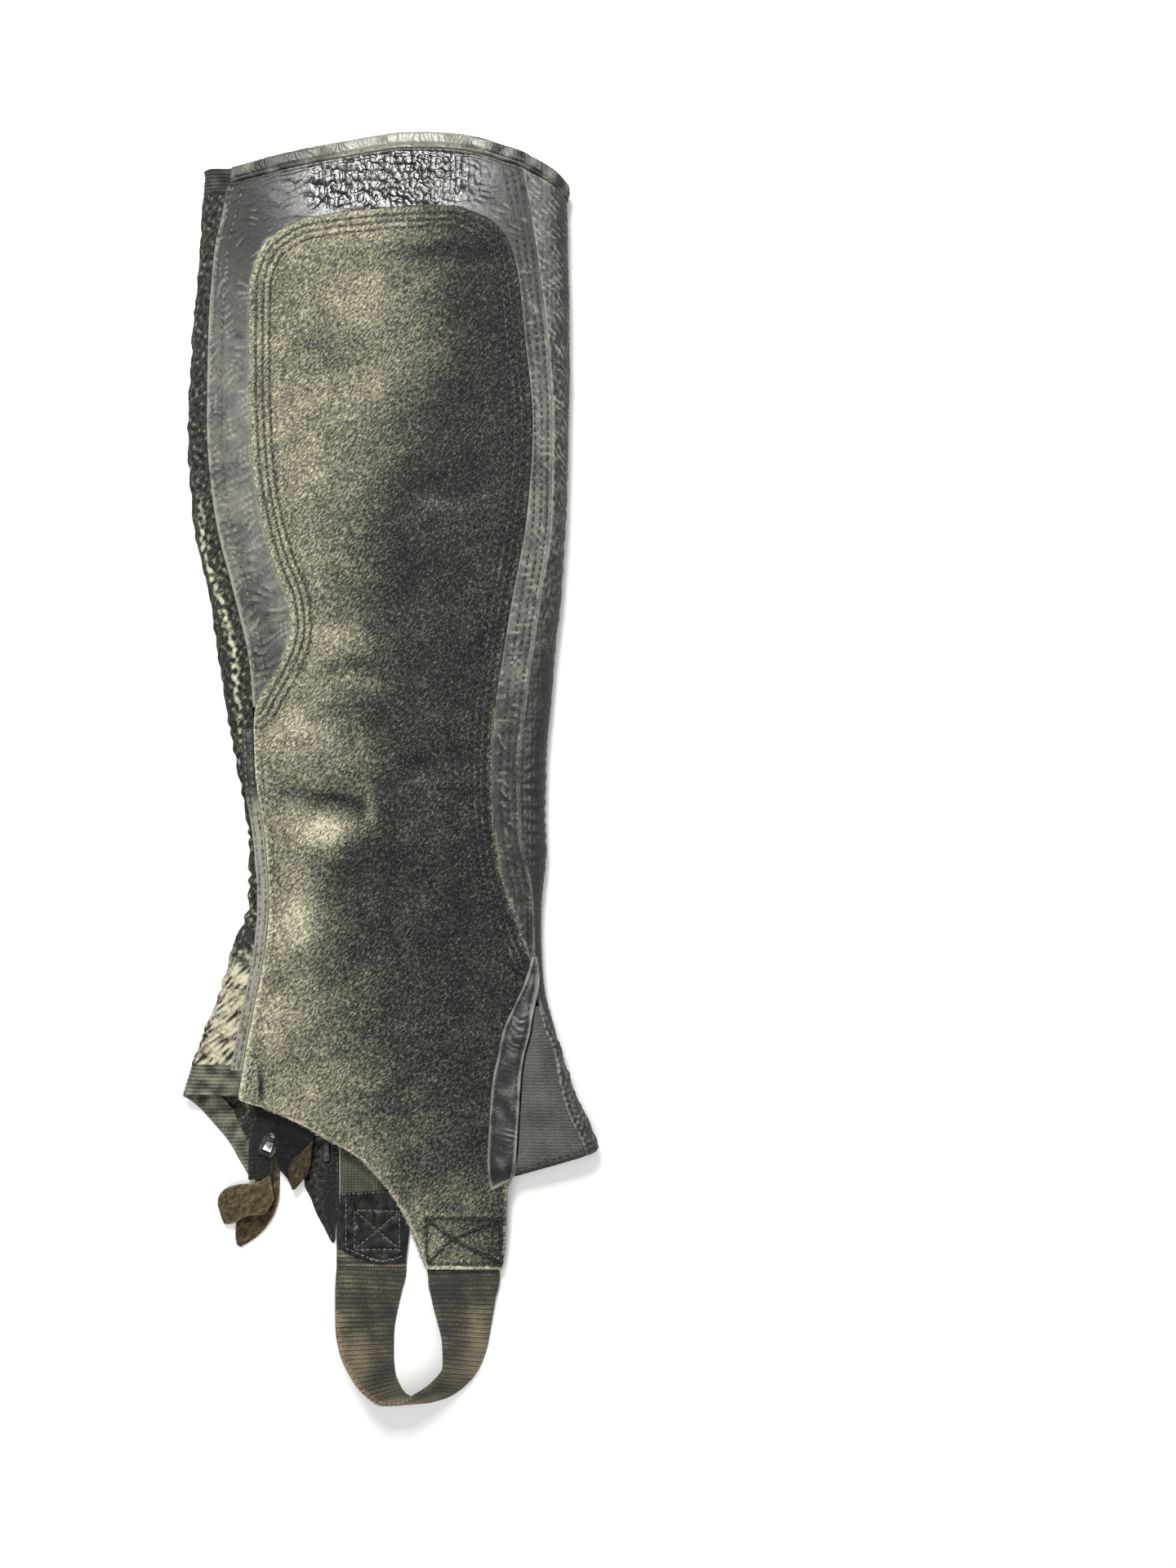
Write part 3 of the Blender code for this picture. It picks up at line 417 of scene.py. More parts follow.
def laid(name, grid, face_of, relief, material, marks, step, edge):
    """Cloth over a fine grid: its outer face is raised by the relief and rounded at the edges, and
    its inner face is plain. face_of gives the points of either face, which is None or raised."""
    grid = near_edges(grid)
    place = (grid[..., 0], grid[..., 1], from_edges(grid))
    outer = face_of(grid, relief(*place) - round_off(place[2], edge))
    made = {mark: function(*place) for mark, function in marks.items()}
    return shell(
        name, outer, lambda rows, columns: face_of(grid[np.ix_(rows, columns)], None),
        grid[..., :2], material, made, step,
    )


def on_skin(name, grid, depths, relief, material, marks, step=4, edge=0.7):
    """Cloth on the leg over a fine grid of (u, y), between two depths."""
    def face_of(points, raised):
        """The skin's points at the inner depth, or raised from the outer one."""
        depth = depths[1] if raised is None else depths[0] - raised
        return skin(points[..., 0], points[..., 1], depth)
    return laid(name, grid, face_of, relief, material, marks, step, edge)


def path_distance(path, u, y):
    """Distance of points from a path of (u, y) points: the nearest of its segments."""
    nearest = np.full(u.shape, np.inf)
    for (u0, y0), (u1, y1) in zip(path[:-1], path[1:]):
        length = (u1 - u0) ** 2 + (y1 - y0) ** 2
        share = ramp((u - u0) * (u1 - u0) + (y - y0) * (y1 - y0), length)
        gap = (u - u0 - share * (u1 - u0)) ** 2 + (y - y0 - share * (y1 - y0)) ** 2
        nearest = np.minimum(nearest, gap)
    return np.sqrt(nearest)


def waves(x, y, size, seed, count=7):
    """Smooth uneven field between about -1 and 1: plane waves near one size, all directions."""
    chance = np.random.default_rng(seed)
    total = np.zeros(np.broadcast(x, y).shape)
    for _ in range(count):
        angle, phase = chance.uniform(0, 2 * np.pi, 2)
        length = size * chance.uniform(0.7, 1.5)
        run = (x * np.cos(angle) + y * np.sin(angle)) / length
        total += np.sin(2 * np.pi * run + phase)
    return total / np.sqrt(count)


def bells(x, y, table):
    """Sum of soft oval patches: x, y, half width, half height and strength of each."""
    total = np.zeros(np.broadcast(x, y).shape)
    for x0, y0, half_x, half_y, strength in table:
        total += strength * bell(x - x0, half_x) * bell(y - y0, half_y)
    return total


def grip_edge_rows():
    """The grip's back and front edges above the ankle, going down from the arch."""
    back = np.concatenate([CORNER_BACK, ROWS[ROWS >= GRIP_FOOT]])
    front = np.concatenate([CORNER_FRONT, ROWS[ROWS >= FRAME_FOOT]])
    return edge_at(GRIP_BACK, back), edge_at(GRIP_FRONT, front)


grip_back, grip_front = grip_edge_rows()
grip_arch = upper_edge(*spread(GRIP_ARCH, ARCH_COLUMNS).T)
grip_outline = np.concatenate([grip_back[::-1], grip_arch, grip_front])
grip_outline = spread(grip_outline[np.append(True, run_of(grip_outline)[1:] > 0)], 150)


def suede_grid():
    """Coarse grid of the whole suede, arch to tongue."""
    ankle = ROWS[(ROWS < GRIP_FOOT) & (ROWS > LAST_ROW)]
    seam = seam_at(BACK_SEAM, ankle)
    hem = np.array([y for x, y in SUEDE_HEM], float)
    left = np.concatenate([grip_back, seam, edge_at(SUEDE_HEM, hem)])
    lower = left[len(grip_front):, 1]
    right = np.concatenate([grip_front, edge_at(ANKLE_FRONT, lower)])
    return np.concatenate([grip_arch[None], across(left, right, ARCH_COLUMNS)])


def tongue_rows(u, y):
    """1 on the thread rows of the tongue's box and cross."""
    return sum(bell(path_distance(row, u, y), 0.9) for row in (TONGUE_BOX, *TONGUE_CROSS))


def rows_at(away, rows, width):
    """1 on each of a seam's thread rows, which run at set distances from it."""
    return sum(bell(away - row, width) for row in rows)


def suede_relief(u, y, inside):
    """Thread rows pulled in with puffs between, fine creases, a lumpy hand, and nap."""
    edge = path_distance(grip_outline, u, y)
    sewn = -0.5 * rows_at(edge, GRIP_ROWS_IN, 0.6) - 0.4 * tongue_rows(u, y)
    puffed = 0.3 * bell(edge - 5, 5, 4)
    lumps = 0.22 * waves(u, y, 26, 1) + 0.10 * waves(u, 1.5 * y, 9, 2)
    nap = 0.05 * waves(u, y, 2.6, 3, 12)
    raw = 0.12 * waves(u, y, 3.0, 4) * np.exp(-inside / 1.5)
    quiet = ramp(inside, 6)
    return sewn + puffed + (lumps - crease(u, y, SUEDE_CREASES)) * quiet + nap + raw


# Girth where the dusty back half of the suede turns into the polished front half, by height.
POLISH_LINE = (
    (300, 22), (200, 20), (185, 17), (150, -2), (110, -12), (60, -12), (20, -14), (-20, -20),
    (-60, -27), (-110, -22), (-150, -15), (-232, 38),
)
# Where more dust has settled (positive) and where the leg has polished the nap (negative).
# Three are painted light: the thin dark line at (-27, -11.5) is painted shade in the ankle
# crease's trough, the patch at (-9, -18) a painted highlight on the ridge beside it, and the thin
# dark line at (-59.7, -146) painted shade in a groove.
#    x    y  half_x half_y strength
SUEDE_WEAR_AND_PAINTED_LIGHT = (
    (-24, 250, 34, 5, 0.08), (24, 240, 30, 5, -0.20), (-33, 200, 13, 15, -0.15),
    (-14, 217, 20, 22, 0.05), (-52, 190, 5, 30, 0.02), (-36, 147, 14, 14, 0.07),
    (40, 215, 18, 34, -0.06), (-6, 132, 10, 7, -0.06), (24, 124, 16, 5, 0.14),
    (44, 94, 9, 12, 0.07), (4, 104, 14, 10, -0.08), (-22, 84, 14, 9, -0.05),
    (-22, 61, 16, 7, 0.21), (-16, 50, 13, 3, -0.16), (-26, 41, 18, 4, 0.12),
    (-14, 30, 11, 4, -0.14), (-40, 20, 16, 10, 0.19), (-14, 8, 14, 7, 0.12),
    (2, 22, 12, 8, -0.08), (15, 0, 14, 6, 0.10), (-27, -11.5, 13, 1.7, -0.12),
    (-9, -18, 3, 5, 0.40), (-29, -27, 10, 6, 0.60), (-10, -37, 12, 6, -0.10),
    (-41, -66, 9, 14, 0.24), (-24, -48, 9, 7, -0.12), (4, -119, 20, 8, 0.08),
    (-4, -144, 30, 12, 0.10), (-54, -120, 6, 30, 0.08), (34, -194, 16, 14, 0.27),
    (-46, -60, 12, 28, 0.06), (2, -112, 22, 12, 0.06), (8, -166, 26, 14, 0.12),
    (34, -221, 20, 12, 0.13), (-42, -108, 14, 18, 0.05), (24, -206, 9, 1.6, 0.25),
    (22, -217, 5, 5, 0.14), (38, -218, 8, 10, 0.08), (28, -60, 12, 14, -0.05),
    (33, -230, 20, 1.6, 0.20), (-59.7, -146, 0.9, 6, -0.6),
)


def suede_wear_and_painted_light(u, y, inside):
    """0 is polished black, 1 is dusty: dusty behind the polish line, the wear patches, painted
    shade along the sewn thread rows and in the creases, painted highlights on the puffs between the
    rows and on the creases' ridges, and a paler cut edge."""
    edge = path_distance(grip_outline, u, y)
    # Painted shade along the sewn rows, and painted highlights on the puffs between them.
    rows = -0.26 * rows_at(edge, GRIP_ROWS_IN, 0.6) - 0.36 * tongue_rows(u, y)
    puffs = 0.09 * rows_at(edge + 1.6, GRIP_ROWS_IN, 0.8)
    cut = 0.22 * bell(edge, 0.8) * np.clip((30 - u) / 60, 0.2, 1)
    hem = 0.4 * bell(inside, 2.0) * (y < -90)
    hem = np.maximum(hem, 0.5 * bell(inside, 0.8) * (y < GRIP_FOOT))
    cloud = 0.04 * waves(u, y, 34, 5) + 0.03 * waves(u, y, 12, 6)
    # Painted shade in the creases' troughs and painted highlight on their ridges.
    painted_crease_light = -0.10 * crease(u, y, SUEDE_CREASES) - 0.06 * crease(u, y, CREASES)
    dusty = 1 / (1 + np.exp((u - read(POLISH_LINE, y)) / 9))
    worn = 0.345 + 0.475 * dusty + bells(u, y, SUEDE_WEAR_AND_PAINTED_LIGHT)
    return np.clip(worn + rows + puffs + cut + hem + cloud + painted_crease_light, 0, 1.15)


def colour(code):
    """Linear RGBA of an sRGB hex colour."""
    part = np.array([int(code[i:i + 2], 16) for i in (1, 3, 5)]) / 255
    linear = np.where(part <= 0.04045, part / 12.92, ((part + 0.055) / 1.055) ** 2.4)
    return (*linear.tolist(), 1.0)


def new_finish(name, constants):
    """A new material, and its shader with the given sockets set."""
    material = bpy.data.materials.new(name)
    material.use_nodes = True
    shader = material.node_tree.nodes["Principled BSDF"]
    for socket, value in constants.items():
        shader.inputs[socket].default_value = value
    return material, shader


def add(material, kind, inputs, stops=(), **settings):
    """Adds a node. inputs gives each socket a value, another node's first output or an output;
    settings are the node's own properties, and stops are the places and colours of a ramp."""
    tree = material.node_tree
    made = tree.nodes.new("ShaderNode" + kind)
    for name, value in settings.items():
        setattr(made, name, value)
    for key, value in inputs.items():
        if isinstance(value, bpy.types.Node):
            value = value.outputs[0]
        if isinstance(value, bpy.types.NodeSocket):
            tree.links.new(value, made.inputs[key])
        else:
            made.inputs[key].default_value = value
    for i, (place, shade) in enumerate(stops):
        stop = made.color_ramp.elements[i] if i < 2 else made.color_ramp.elements.new(place)
        stop.position = place
        stop.color = colour(shade)
    return made


def link(material, output, shader, socket):
    """Joins a node's first output to one of the shader's sockets."""
    material.node_tree.links.new(output.outputs[0], shader.inputs[socket])


def per(size):
    """Scale of a noise or cell pattern whose features are size millimetres across."""
    return 1 / (size * MM)


def shade(material, shader, mark, layers, span, stops, relief):
    """Colours the shader by a mark of the mesh with each layer's pattern times its weight on it:
    where that lies in a span picks the colour of a ramp. relief is the pattern that stands out,
    how strongly, and how far in millimetres. Returns the marked value."""
    worn = add(material, "Attribute", {}, attribute_name=mark).outputs["Fac"]
    for pattern, weight in layers:
        worn = add(material, "Math", {0: pattern, 1: weight, 2: worn}, operation="MULTIPLY_ADD")
    level = add(material, "MapRange", {"Value": worn, "From Min": span[0], "From Max": span[1]})
    tone = add(material, "ValToRGB", {"Fac": level}, stops=stops)
    link(material, tone, shader, "Base Color")
    height, strength, depth = relief
    bump = add(material, "Bump", {"Strength": strength, "Distance": depth * MM, "Height": height})
    link(material, bump, shader, "Normal")
    return worn


def brushed(material, place):
    """Coordinates in which a pattern's grain is drawn out into short strokes, lying the way that
    the nap is brushed."""
    return add(
        material, "Mapping",
        {"Vector": place, "Rotation": (0, 0, np.radians(48)), "Scale": (2.2, 1, 1)},
        vector_type="TEXTURE",
    )


def black_suede():
    """Dyed split leather with a brushed nap: matt, grainy, black where polished and olive-grey
    where the pile holds dust, with painted shade and highlights along the sewn rows and creases
    from the wear mark, and pale fibre ends standing out of it."""
    material, shader = new_finish("black_brushed_suede", {
        "Roughness": 0.92, "Specular IOR Level": 0.25,
        "Sheen Weight": 0.22, "Sheen Roughness": 0.45, "Sheen Tint": colour("#9c9a86"),
    })
    place = add(material, "TexCoord", {}).outputs["Object"]
    combed = brushed(material, place)
    cloud = add(material, "TexNoise", {"Vector": place, "Scale": per(24), "Detail": 2.0})
    grain = add(material, "TexNoise", {"Vector": combed, "Scale": per(0.8), "Detail": 1.0})
    grit = add(material, "TexNoise", {"Vector": place, "Scale": per(0.65), "Detail": 1.0})
    nap = add(material, "Math", {0: grain, 1: grit}, operation="ADD")
    shade(
        material, shader, "wear", ((cloud, 0.1), (grain, 1.35), (grit, 0.75)), (1.08, 2.43),
        ((0, "#090b0b"), (1, "#d2ccb2"), (0.22, "#1a1d1c"), (0.37, "#31342f"), (0.52, "#545448"),
         (0.74, "#8c8872")), (nap, 0.55, 0.6),
    )
    return material


def stand_for(piece, slot, *nodes):
    """The piece rides on the chap and is shown for these nodes. The slot is not used."""
    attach(piece, "root")
    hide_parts(*nodes)


suede_finish = black_suede()
suede_rows = shares((0, 0.07, 0.91, 1), (50, 360, 80))
suede_columns = shares((0, 0.1, 0.9, 1), (24, 60, 24))
suede = on_skin(
    "suede_grip", fine(suede_grid(), suede_rows, suede_columns), (-SUEDE_PROUD, LEATHER),
    suede_relief, suede_finish, {"wear": suede_wear_and_painted_light}, step=5, edge=0.9,
)
stand_for(suede, "black_suede", "suede_grip_panel")


# Leather frame. Pebbled black cowhide round the grip, in one piece from the back seam over the
# knee and down to the ankle.

BINDING_HEIGHT = 7.5
FRAME_COLUMNS = 4
# The top edge over the upper side, binding and all.
TOP_ARCH = ((-73.5, 280.3), (-50, 287), (-23, 292.5), (9, 296.5), (32, 294.7), (61.5, 285.6))
FRONT_THREADS = (1.9, 4.9, 8.2)     # rows of thread left of the front seam
BACK_THREADS = (1.9, 6.2)           # and right of the back seam
GRAIN = (2.3, 2.9)                  # width and height of a pebble of the leather's grain
KNEE_GRAIN = (3.0, 3.7)             # and of one over the knee
KNEE = 275                          # height of the middle of the band over the knee

# How strong the grain is: high over the knee, faint down the sides.
#    x    y  half_x half_y strength
GRAIN_STRENGTH = (
    (58, 262, 16, 26, 0.5), (74, 120, 14, 190, 0.55), (-76, 150, 14, 80, 0.15),
    (-64, 254, 13, 26, 0.4),
)


def frame_edges():
    """Inner and outer edge of the leather frame: up its back side, over, and down its front."""
    def side(column, top, foot):
        """A seam from below the binding down to its foot."""
        above = ROWS[0] + ABOVE * (top - BINDING_HEIGHT - ROWS[0])
        return seam_at(column, np.append(above, ROWS[ROWS >= foot]))
    inner = np.concatenate([grip_back[::-1], grip_arch, grip_front])
    back = side(BACK_SEAM, TOP_ARCH[0][1], GRIP_FOOT)
    front = side(FRONT_SEAM, TOP_ARCH[-1][1], FRAME_FOOT)
    x = np.linspace(-63, 53, ARCH_COLUMNS)
    over = upper_edge(x, read(TOP_ARCH, x) - BINDING_HEIGHT)
    return inner, np.concatenate([back[::-1], over, front]), len(back)


frame_inner, frame_outer, back_count = frame_edges()
back_seam_line = spread(frame_outer[:back_count], 40)
front_seam_line = spread(frame_outer[back_count + ARCH_COLUMNS:], 60)
top_seam_line = spread(frame_outer[back_count - 1:back_count + ARCH_COLUMNS + 1], 40)


def pebbles(x, y, size=GRAIN):
    """Grain of leather between 0 and 1: domes on a grid of cells, with a valley along the border
    between each two. The fraction of a large sine shifts each cell's dome by chance."""
    x, y = x / size[0], y / size[1]
    nearest = np.full(x.shape, 9.0)
    second = np.full(x.shape, 9.0)
    for step_x in (-1, 0, 1):
        for step_y in (-1, 0, 1):
            cell_x = np.floor(x) + step_x
            cell_y = np.floor(y) + step_y
            chance = np.sin(cell_x * 127.1 + cell_y * 311.7) * 43758.5453
            other = np.sin(cell_x * 269.5 + cell_y * 183.3) * 43758.5453
            gap = np.hypot(
                x - cell_x - 0.18 - 0.64 * (chance % 1),
                y - cell_y - 0.18 - 0.64 * (other % 1),
            )
            second = np.minimum(second, np.maximum(nearest, gap))
            nearest = np.minimum(nearest, gap)
    border = np.clip((second - nearest) * 2.0, 0, 1)
    dome = np.clip(1 - nearest, 0, 1)
    return 0.55 * border * (2 - border) + 0.6 * dome * (2 - dome) - 0.15


def knee_grain(u, y):
    """The bold pebbles over the knee, from -0.6 to 0.4: drawn out upwards where the band bends
    most, and fading out at its ends."""
    wandering = u + 0.5 * waves(u, y, 12, 16)
    drawn = KNEE + (y - KNEE) / (1 + 0.9 * bell(u + 30, 14))
    strength = bell(u + 2, 46, 4) * bell(y - KNEE, 13, 4)
    return strength * (pebbles(wandering, drawn, KNEE_GRAIN) - 0.6)


def ripple(run, pitch):
    """Even waves between -1 and 1 along a run."""
    return np.sin(2 * np.pi * run / pitch)


def wrinkles(u, y, spacing):
    """Fine wrinkles across the strips of the frame, -1 to 1: bent lines that come and go."""
    rising = np.where(u < 0, 0.5, -0.2) * u
    run = y - rising + 2.0 * waves(u, y, 15, 13)
    return ripple(run, spacing) * np.clip(0.6 + 0.7 * waves(u, y, 9, 17), 0, 1)


def leather_relief(u, y, inside):
    """Pebbled grain, three thread rows at the front seam and two at the back one, a lip along
    the back seam, and a sewn groove under the binding."""
    front = path_distance(front_seam_line, u, y)
    back = path_distance(back_seam_line, u, y)
    top = path_distance(top_seam_line, u, y)
    sewn = -0.34 * rows_at(front, FRONT_THREADS, 0.7) - 0.30 * rows_at(back, BACK_THREADS, 0.8)
    sewn = sewn - 0.5 * bell(top - 1.7, 0.9)
    lip = 0.35 * bell(back - 0.7, 0.9)
    rows = bell(front - 5, 5, 4) + bell(back - 4, 4, 4)
    strength = np.clip(0.05 + bells(u, y, GRAIN_STRENGTH), 0, 1) * np.clip(1 - 0.7 * rows, 0.2, 1)
    grain = 0.62 * strength * (pebbles(u, y) - 0.6) + 0.8 * knee_grain(u, y)
    lumps = 0.25 * waves(u, y, 22, 11) + 0.12 * waves(u, y, 7, 12)
    calf = bell(y - 85, 45) * (u < 0)
    ankle = bell(y + 22, 26) * (u > 0)
    fine_lines = (0.17 + 0.16 * calf) * wrinkles(u, y, 3.7)
    bent = 0.22 * ankle * wrinkles(u, y, 5.2)
    join = -0.45 * bell(y - 197 - 0.05 * (u - 63), 0.6) * (u > 62)
    return sewn + lip + grain + join + (lumps + fine_lines + bent) * ramp(inside, 3)


# Patches where the frame is greyer (positive) and darker (negative) than elsewhere.
#    x    y  half_x half_y strength
FRAME_TONE_PATCHES = (
    (-62, 262, 14, 16, -0.12), (64, 250, 10, 22, -0.07), (56, 0, 12, 30, -0.05),
    (-6, 278, 40, 9, 0.06),
)


def leather_scuff_and_painted_light(u, y, inside):
    """Pale scuffs on edges, dust down the strips, a dusty rim along the back seam, painted
    highlights on the knee's pebble tops and on the crests of the fine wrinkles, and painted shade
    in the pebbles' valleys.
    """
    back = path_distance(back_seam_line, u, y)
    broken = 0.75 + 0.5 * waves(u, y, 4, 10)
    edge = 0.5 * broken * bell(back - 0.9, 0.9) + 0.3 * bell(inside, 0.8)
    dust = 0.22 * bell(y - 140, 90, 4) * (u < 0)
    dust = dust + 0.20 * bell(y - 120, 90, 4) * (u > 0) + bells(u, y, FRAME_TONE_PATCHES)
    # Painted highlights on the knee's pebble tops and painted shade in their valleys.
    painted_knee_light = 0.5 * knee_grain(u, y)
    # Painted highlights on the crests of the fine wrinkles.
    lines = 0.44 * np.clip(wrinkles(u, y, 3.7), 0, 1) ** 2 * (y < 262)
    flecks = 0.05 * waves(u, y, 3.0, 14, 12)
    return np.clip(0.27 + edge + dust + painted_knee_light + lines + flecks + 0.08 * waves(u, y, 25, 15), 0, 1)


# Where the frame is duller than elsewhere, at the two upper corners.
DULL = ((-68, 258, 20, 34, -0.6), (66, 254, 14, 34, -0.4))


def leather_polish(u, y, inside):
    """1 where the knee has rubbed the pebbles glossy, below 0 where the leather is dull."""
    return bell(u + 4, 46, 4) * bell(y - KNEE, 20, 4) + bells(u, y, DULL)


def black_leather(name, shades, roughness, cell, depth):
    """Pigmented cowhide with its grain: semi-matt, glossy where the polish mark is high, greyer
    where the scuff mark is high, which holds scuffs and dust and on some pieces painted highlights
    and shade. The cells are the grain's own size, and finer pores lie between them."""
    material, shader = new_finish(name, {"Roughness": roughness, "Specular IOR Level": 0.55})
    place = add(material, "TexCoord", {}).outputs["Object"]
    cloud = add(material, "TexNoise", {"Vector": place, "Scale": per(9), "Detail": 4.0})
    pores = add(material, "TexNoise", {"Vector": place, "Scale": per(0.9), "Detail": 2.0})
    cells = add(
        material, "TexVoronoi", {"Vector": place, "Scale": per(cell)}, feature="DISTANCE_TO_EDGE",
    )
    valleys = add(material, "MapRange", {"Value": cells, "From Max": 0.22})
    grain = add(material, "Math", {0: pores, 1: 0.35, 2: valleys}, operation="MULTIPLY_ADD")
    worn = shade(
        material, shader, "scuff", ((cloud, 0.5), (pores, 0.45)), (0.4, 1.4),
        zip((0, 1, 0.45), shades), (grain, 0.5, depth),
    )
    gloss = add(material, "MapRange", {
        "Value": worn, "From Min": 0.3, "From Max": 1.3,
        "To Min": roughness - 0.1, "To Max": roughness + 0.22,
    })
    polish = add(material, "Attribute", {}, attribute_name="polish").outputs["Fac"]
    gloss = add(material, "Math", {0: polish, 1: -0.38, 2: gloss}, operation="MULTIPLY_ADD")
    link(material, gloss, shader, "Roughness")
    return material


leather_finish = black_leather(
    "black_pebbled_cowhide", ("#0b0b0b", "#888679", "#252420"), 0.58, 1.5, 0.09,
)
frame_rows = shares((0, 0.3, 0.53, 1), (180, 370, 290))
leather_frame = on_skin(
    "leather_frame_grain", fine(across(frame_inner, frame_outer, FRAME_COLUMNS), frame_rows, 54),
    (0, LEATHER), leather_relief, leather_finish,
    {"scuff": leather_scuff_and_painted_light, "polish": leather_polish}, step=5, edge=0.5,
)
stand_for(leather_frame, "black_leather", "leather_frame")


# Outer leather and top binding. The outer panel is the same cowhide, from the front seam round the
# front of the leg to the zip, with the heaviest grain. A strip of it is folded over the top edge
# and sewn through, which gathers the strip into small upright puckers.

TAPE_WIDTH = 15.0       # of the back zip tape
FRONT_TAPE_WIDTH = 9.0  # and of what shows of the front one, which the outer leather is sewn to
# The free edge of the two zip tapes, where the teeth are.
#   y   back_tape front_tape
ZIP_LINE = (
    (-222, -58.5, -29), (-181, -58.5, -28.9), (-166, -57, -28.9), (-150, -50, -28.5),
    (-120, -46, -27.5), (-60, -38, -25), (-30, -37, -25.5), (0, -39, -28),
    (50, -44, -35), (100, -48, -40), (160, -50.5, -42.5), (230, -50.5, -43.2),
    (300, -50.5, -43.2),
)
BACK_TAPE, FRONT_TAPE = 1, 2
# The gusset's outer edge, on the upper side.
GUSSET_OUTER = (
    (69, -108), (71, -117), (74.5, -123), (76.5, -130), (77.8, -138), (79.4, -147),
    (82.2, -156), (85.5, -164), (91, -175), (91.5, -178),
)
# Girth that the gusset's leather binding takes up, by height.
GUSSET_BINDING = (
    (10.3, -178), (10.5, -152), (9, -141), (7, -130), (4, -119), (1.6, -108),
)
# The outer leather's top edge and its hem, by the part of the way round the front: 0 at its start,
# 1 where the fold ends, 2 at the zip.
TOP_ROUND = (
    (0, 285.6), (0.25, 279.5), (0.5, 273.5), (0.75, 272.5), (1, 275.5), (1.15, 284.5),
    (1.36, 290), (1.57, 292), (1.86, 288.5), (2, 285),
)
OUTER_HEM = (
    (0, -175), (0.5, -175.5), (1, -178.5), (1.25, -182), (1.5, -179), (1.66, -173),
    (2, -173),
)
ROUND_FRONT = np.array([
    0, 0.11, 0.22, 0.33, 0.44, 0.55, 0.66, 0.77, 0.88, 1, 1.2, 1.4, 1.55, 1.66, 1.83, 2,
])
BINDING = (-0.7, 2.1)   # depths of the binding's two faces
PUCKER = 2.3            # spacing of its gathers


def zip_edge(column, y):
    """x of one zip tape's free edge, a column of ZIP_LINE, at height y."""
    return read(ZIP_LINE, y, 0, column)


def in_halves(part, start, middle, end):
    """The place at a part of the way: 0 at the start, 1 at the middle, 2 at the end."""
    return np.where(part < 1, start + (middle - start) * part, middle + (end - middle) * (part - 1))


def front_start(y):
    """Girth where the outer leather starts: the front seam, the trim, then the gusset's binding."""
    seam = girth_of(section(FRONT_SEAM, y), y)
    trim = girth_of(x_at(ANKLE_FRONT, y), y)
    binding = girth_of(x_at(GUSSET_OUTER, y), y) + x_at(GUSSET_BINDING, y)
    return np.where(y >= FRAME_FOOT, seam, np.where(y > GUSSET_TOP, trim, binding))


def front_girth(part, y):
    """Girth at a part of the way round the front: 0 at its start, 1 fold's end, 2 the zip."""
    back, x1, front, x2 = folds(y)
    turned = x2 + np.pi * front
    end = turned + x2 - (zip_edge(FRONT_TAPE, y) + FRONT_TAPE_WIDTH / 2)
    return in_halves(part, front_start(y), turned, end)


def heights(top, rows, foot):
    """Height of each row (first index) in each column, given each column's top and foot."""
    above = rows[0] + ABOVE[:, None] * (top - rows[0])
    between = np.repeat(rows[:, None], len(top), axis=1)
    below = rows[-1] + BELOW[:, None] * (foot - rows[-1])
    return np.concatenate([above, between, below])


def front_columns(parts):
    """Grid of the outer leather from top edge to hem, at the given parts of the way round."""
    y = heights(read(TOP_ROUND, parts) - BINDING_HEIGHT, ROWS, read(OUTER_HEM, parts))
    return paired(front_girth(parts, y), y)


binding_lower = np.concatenate([
    frame_outer[back_count - 1:back_count + ARCH_COLUMNS], front_columns(ROUND_FRONT)[0],
])
binding_upper = binding_lower + np.array([0, BINDING_HEIGHT])
binding_upper[0, 0] = section(BACK_SEAM, binding_upper[0, 1])
binding_line = spread(binding_lower, 90)


def binding_relief(u, y, inside):
    """A rolled strip with uneven upright puckers, sewn down just above its lower edge."""
    low = path_distance(binding_line, u, y)
    share = ramp(low, BINDING_HEIGHT)
    roll = 0.7 * np.sin(np.pi * share) ** 0.7
    pull = waves(u, 0 * y, 11, 21)
    gathers = 0.28 * (0.8 + 0.5 * pull) * ripple(u + 1.2 * waves(u, y, 13, 22), PUCKER)
    gathers = gathers * ramp(low - 1.6, 2)
    sewn = -0.7 * bell(low - 1.5, 0.5) + 0.3 * bell(low - 0.5, 0.5)
    return roll + gathers + sewn + 0.10 * waves(u, y, 8, 23)


def binding_polish(u, y, inside):
    """Glossy on the middle of the arch."""
    return bell(u - 5, 48, 4)


def binding_scuff_and_painted_highlight(u, y, inside):
    """Patchy, and paler on the middle of the arch: a painted highlight where the rolled strip
    catches the light.
    """
    # The paler band over the middle is a painted highlight.
    return 0.42 + 0.60 * bell(u - 5, 36, 4) + 0.14 * waves(u, y, 8, 24)


binding = on_skin(
    "top_binding_folded", fine(across(binding_lower, binding_upper, 3), 660, 18), BINDING,
    binding_relief, leather_finish, {"scuff": binding_scuff_and_painted_highlight, "polish": binding_polish},
    step=3, edge=1.2,
)
stand_for(binding, "black_leather", "top_binding")

LIFT = 0.45             # how far the grain on the underside is set back above the table


def lifted(u, y, relief):
    """Relief set back on the underside, where nothing may stand out below the table."""
    back, x1, front, x2 = folds(y)
    past = np.maximum((u - x2) / front, (x1 - u) / back) / np.pi
    return relief - LIFT * np.clip(3 * past - 2, 0, 1)


def slanting(u, y):
    """Fine wrinkles down the front of the calf, -1 to 1: slanting lines that come and go."""
    run = y + 0.9 * u + 1.1 * waves(u, y, 16, 33)
    return ripple(run, 3.6) * np.clip(0.7 + 0.6 * waves(u, y, 10, 30), 0, 1)


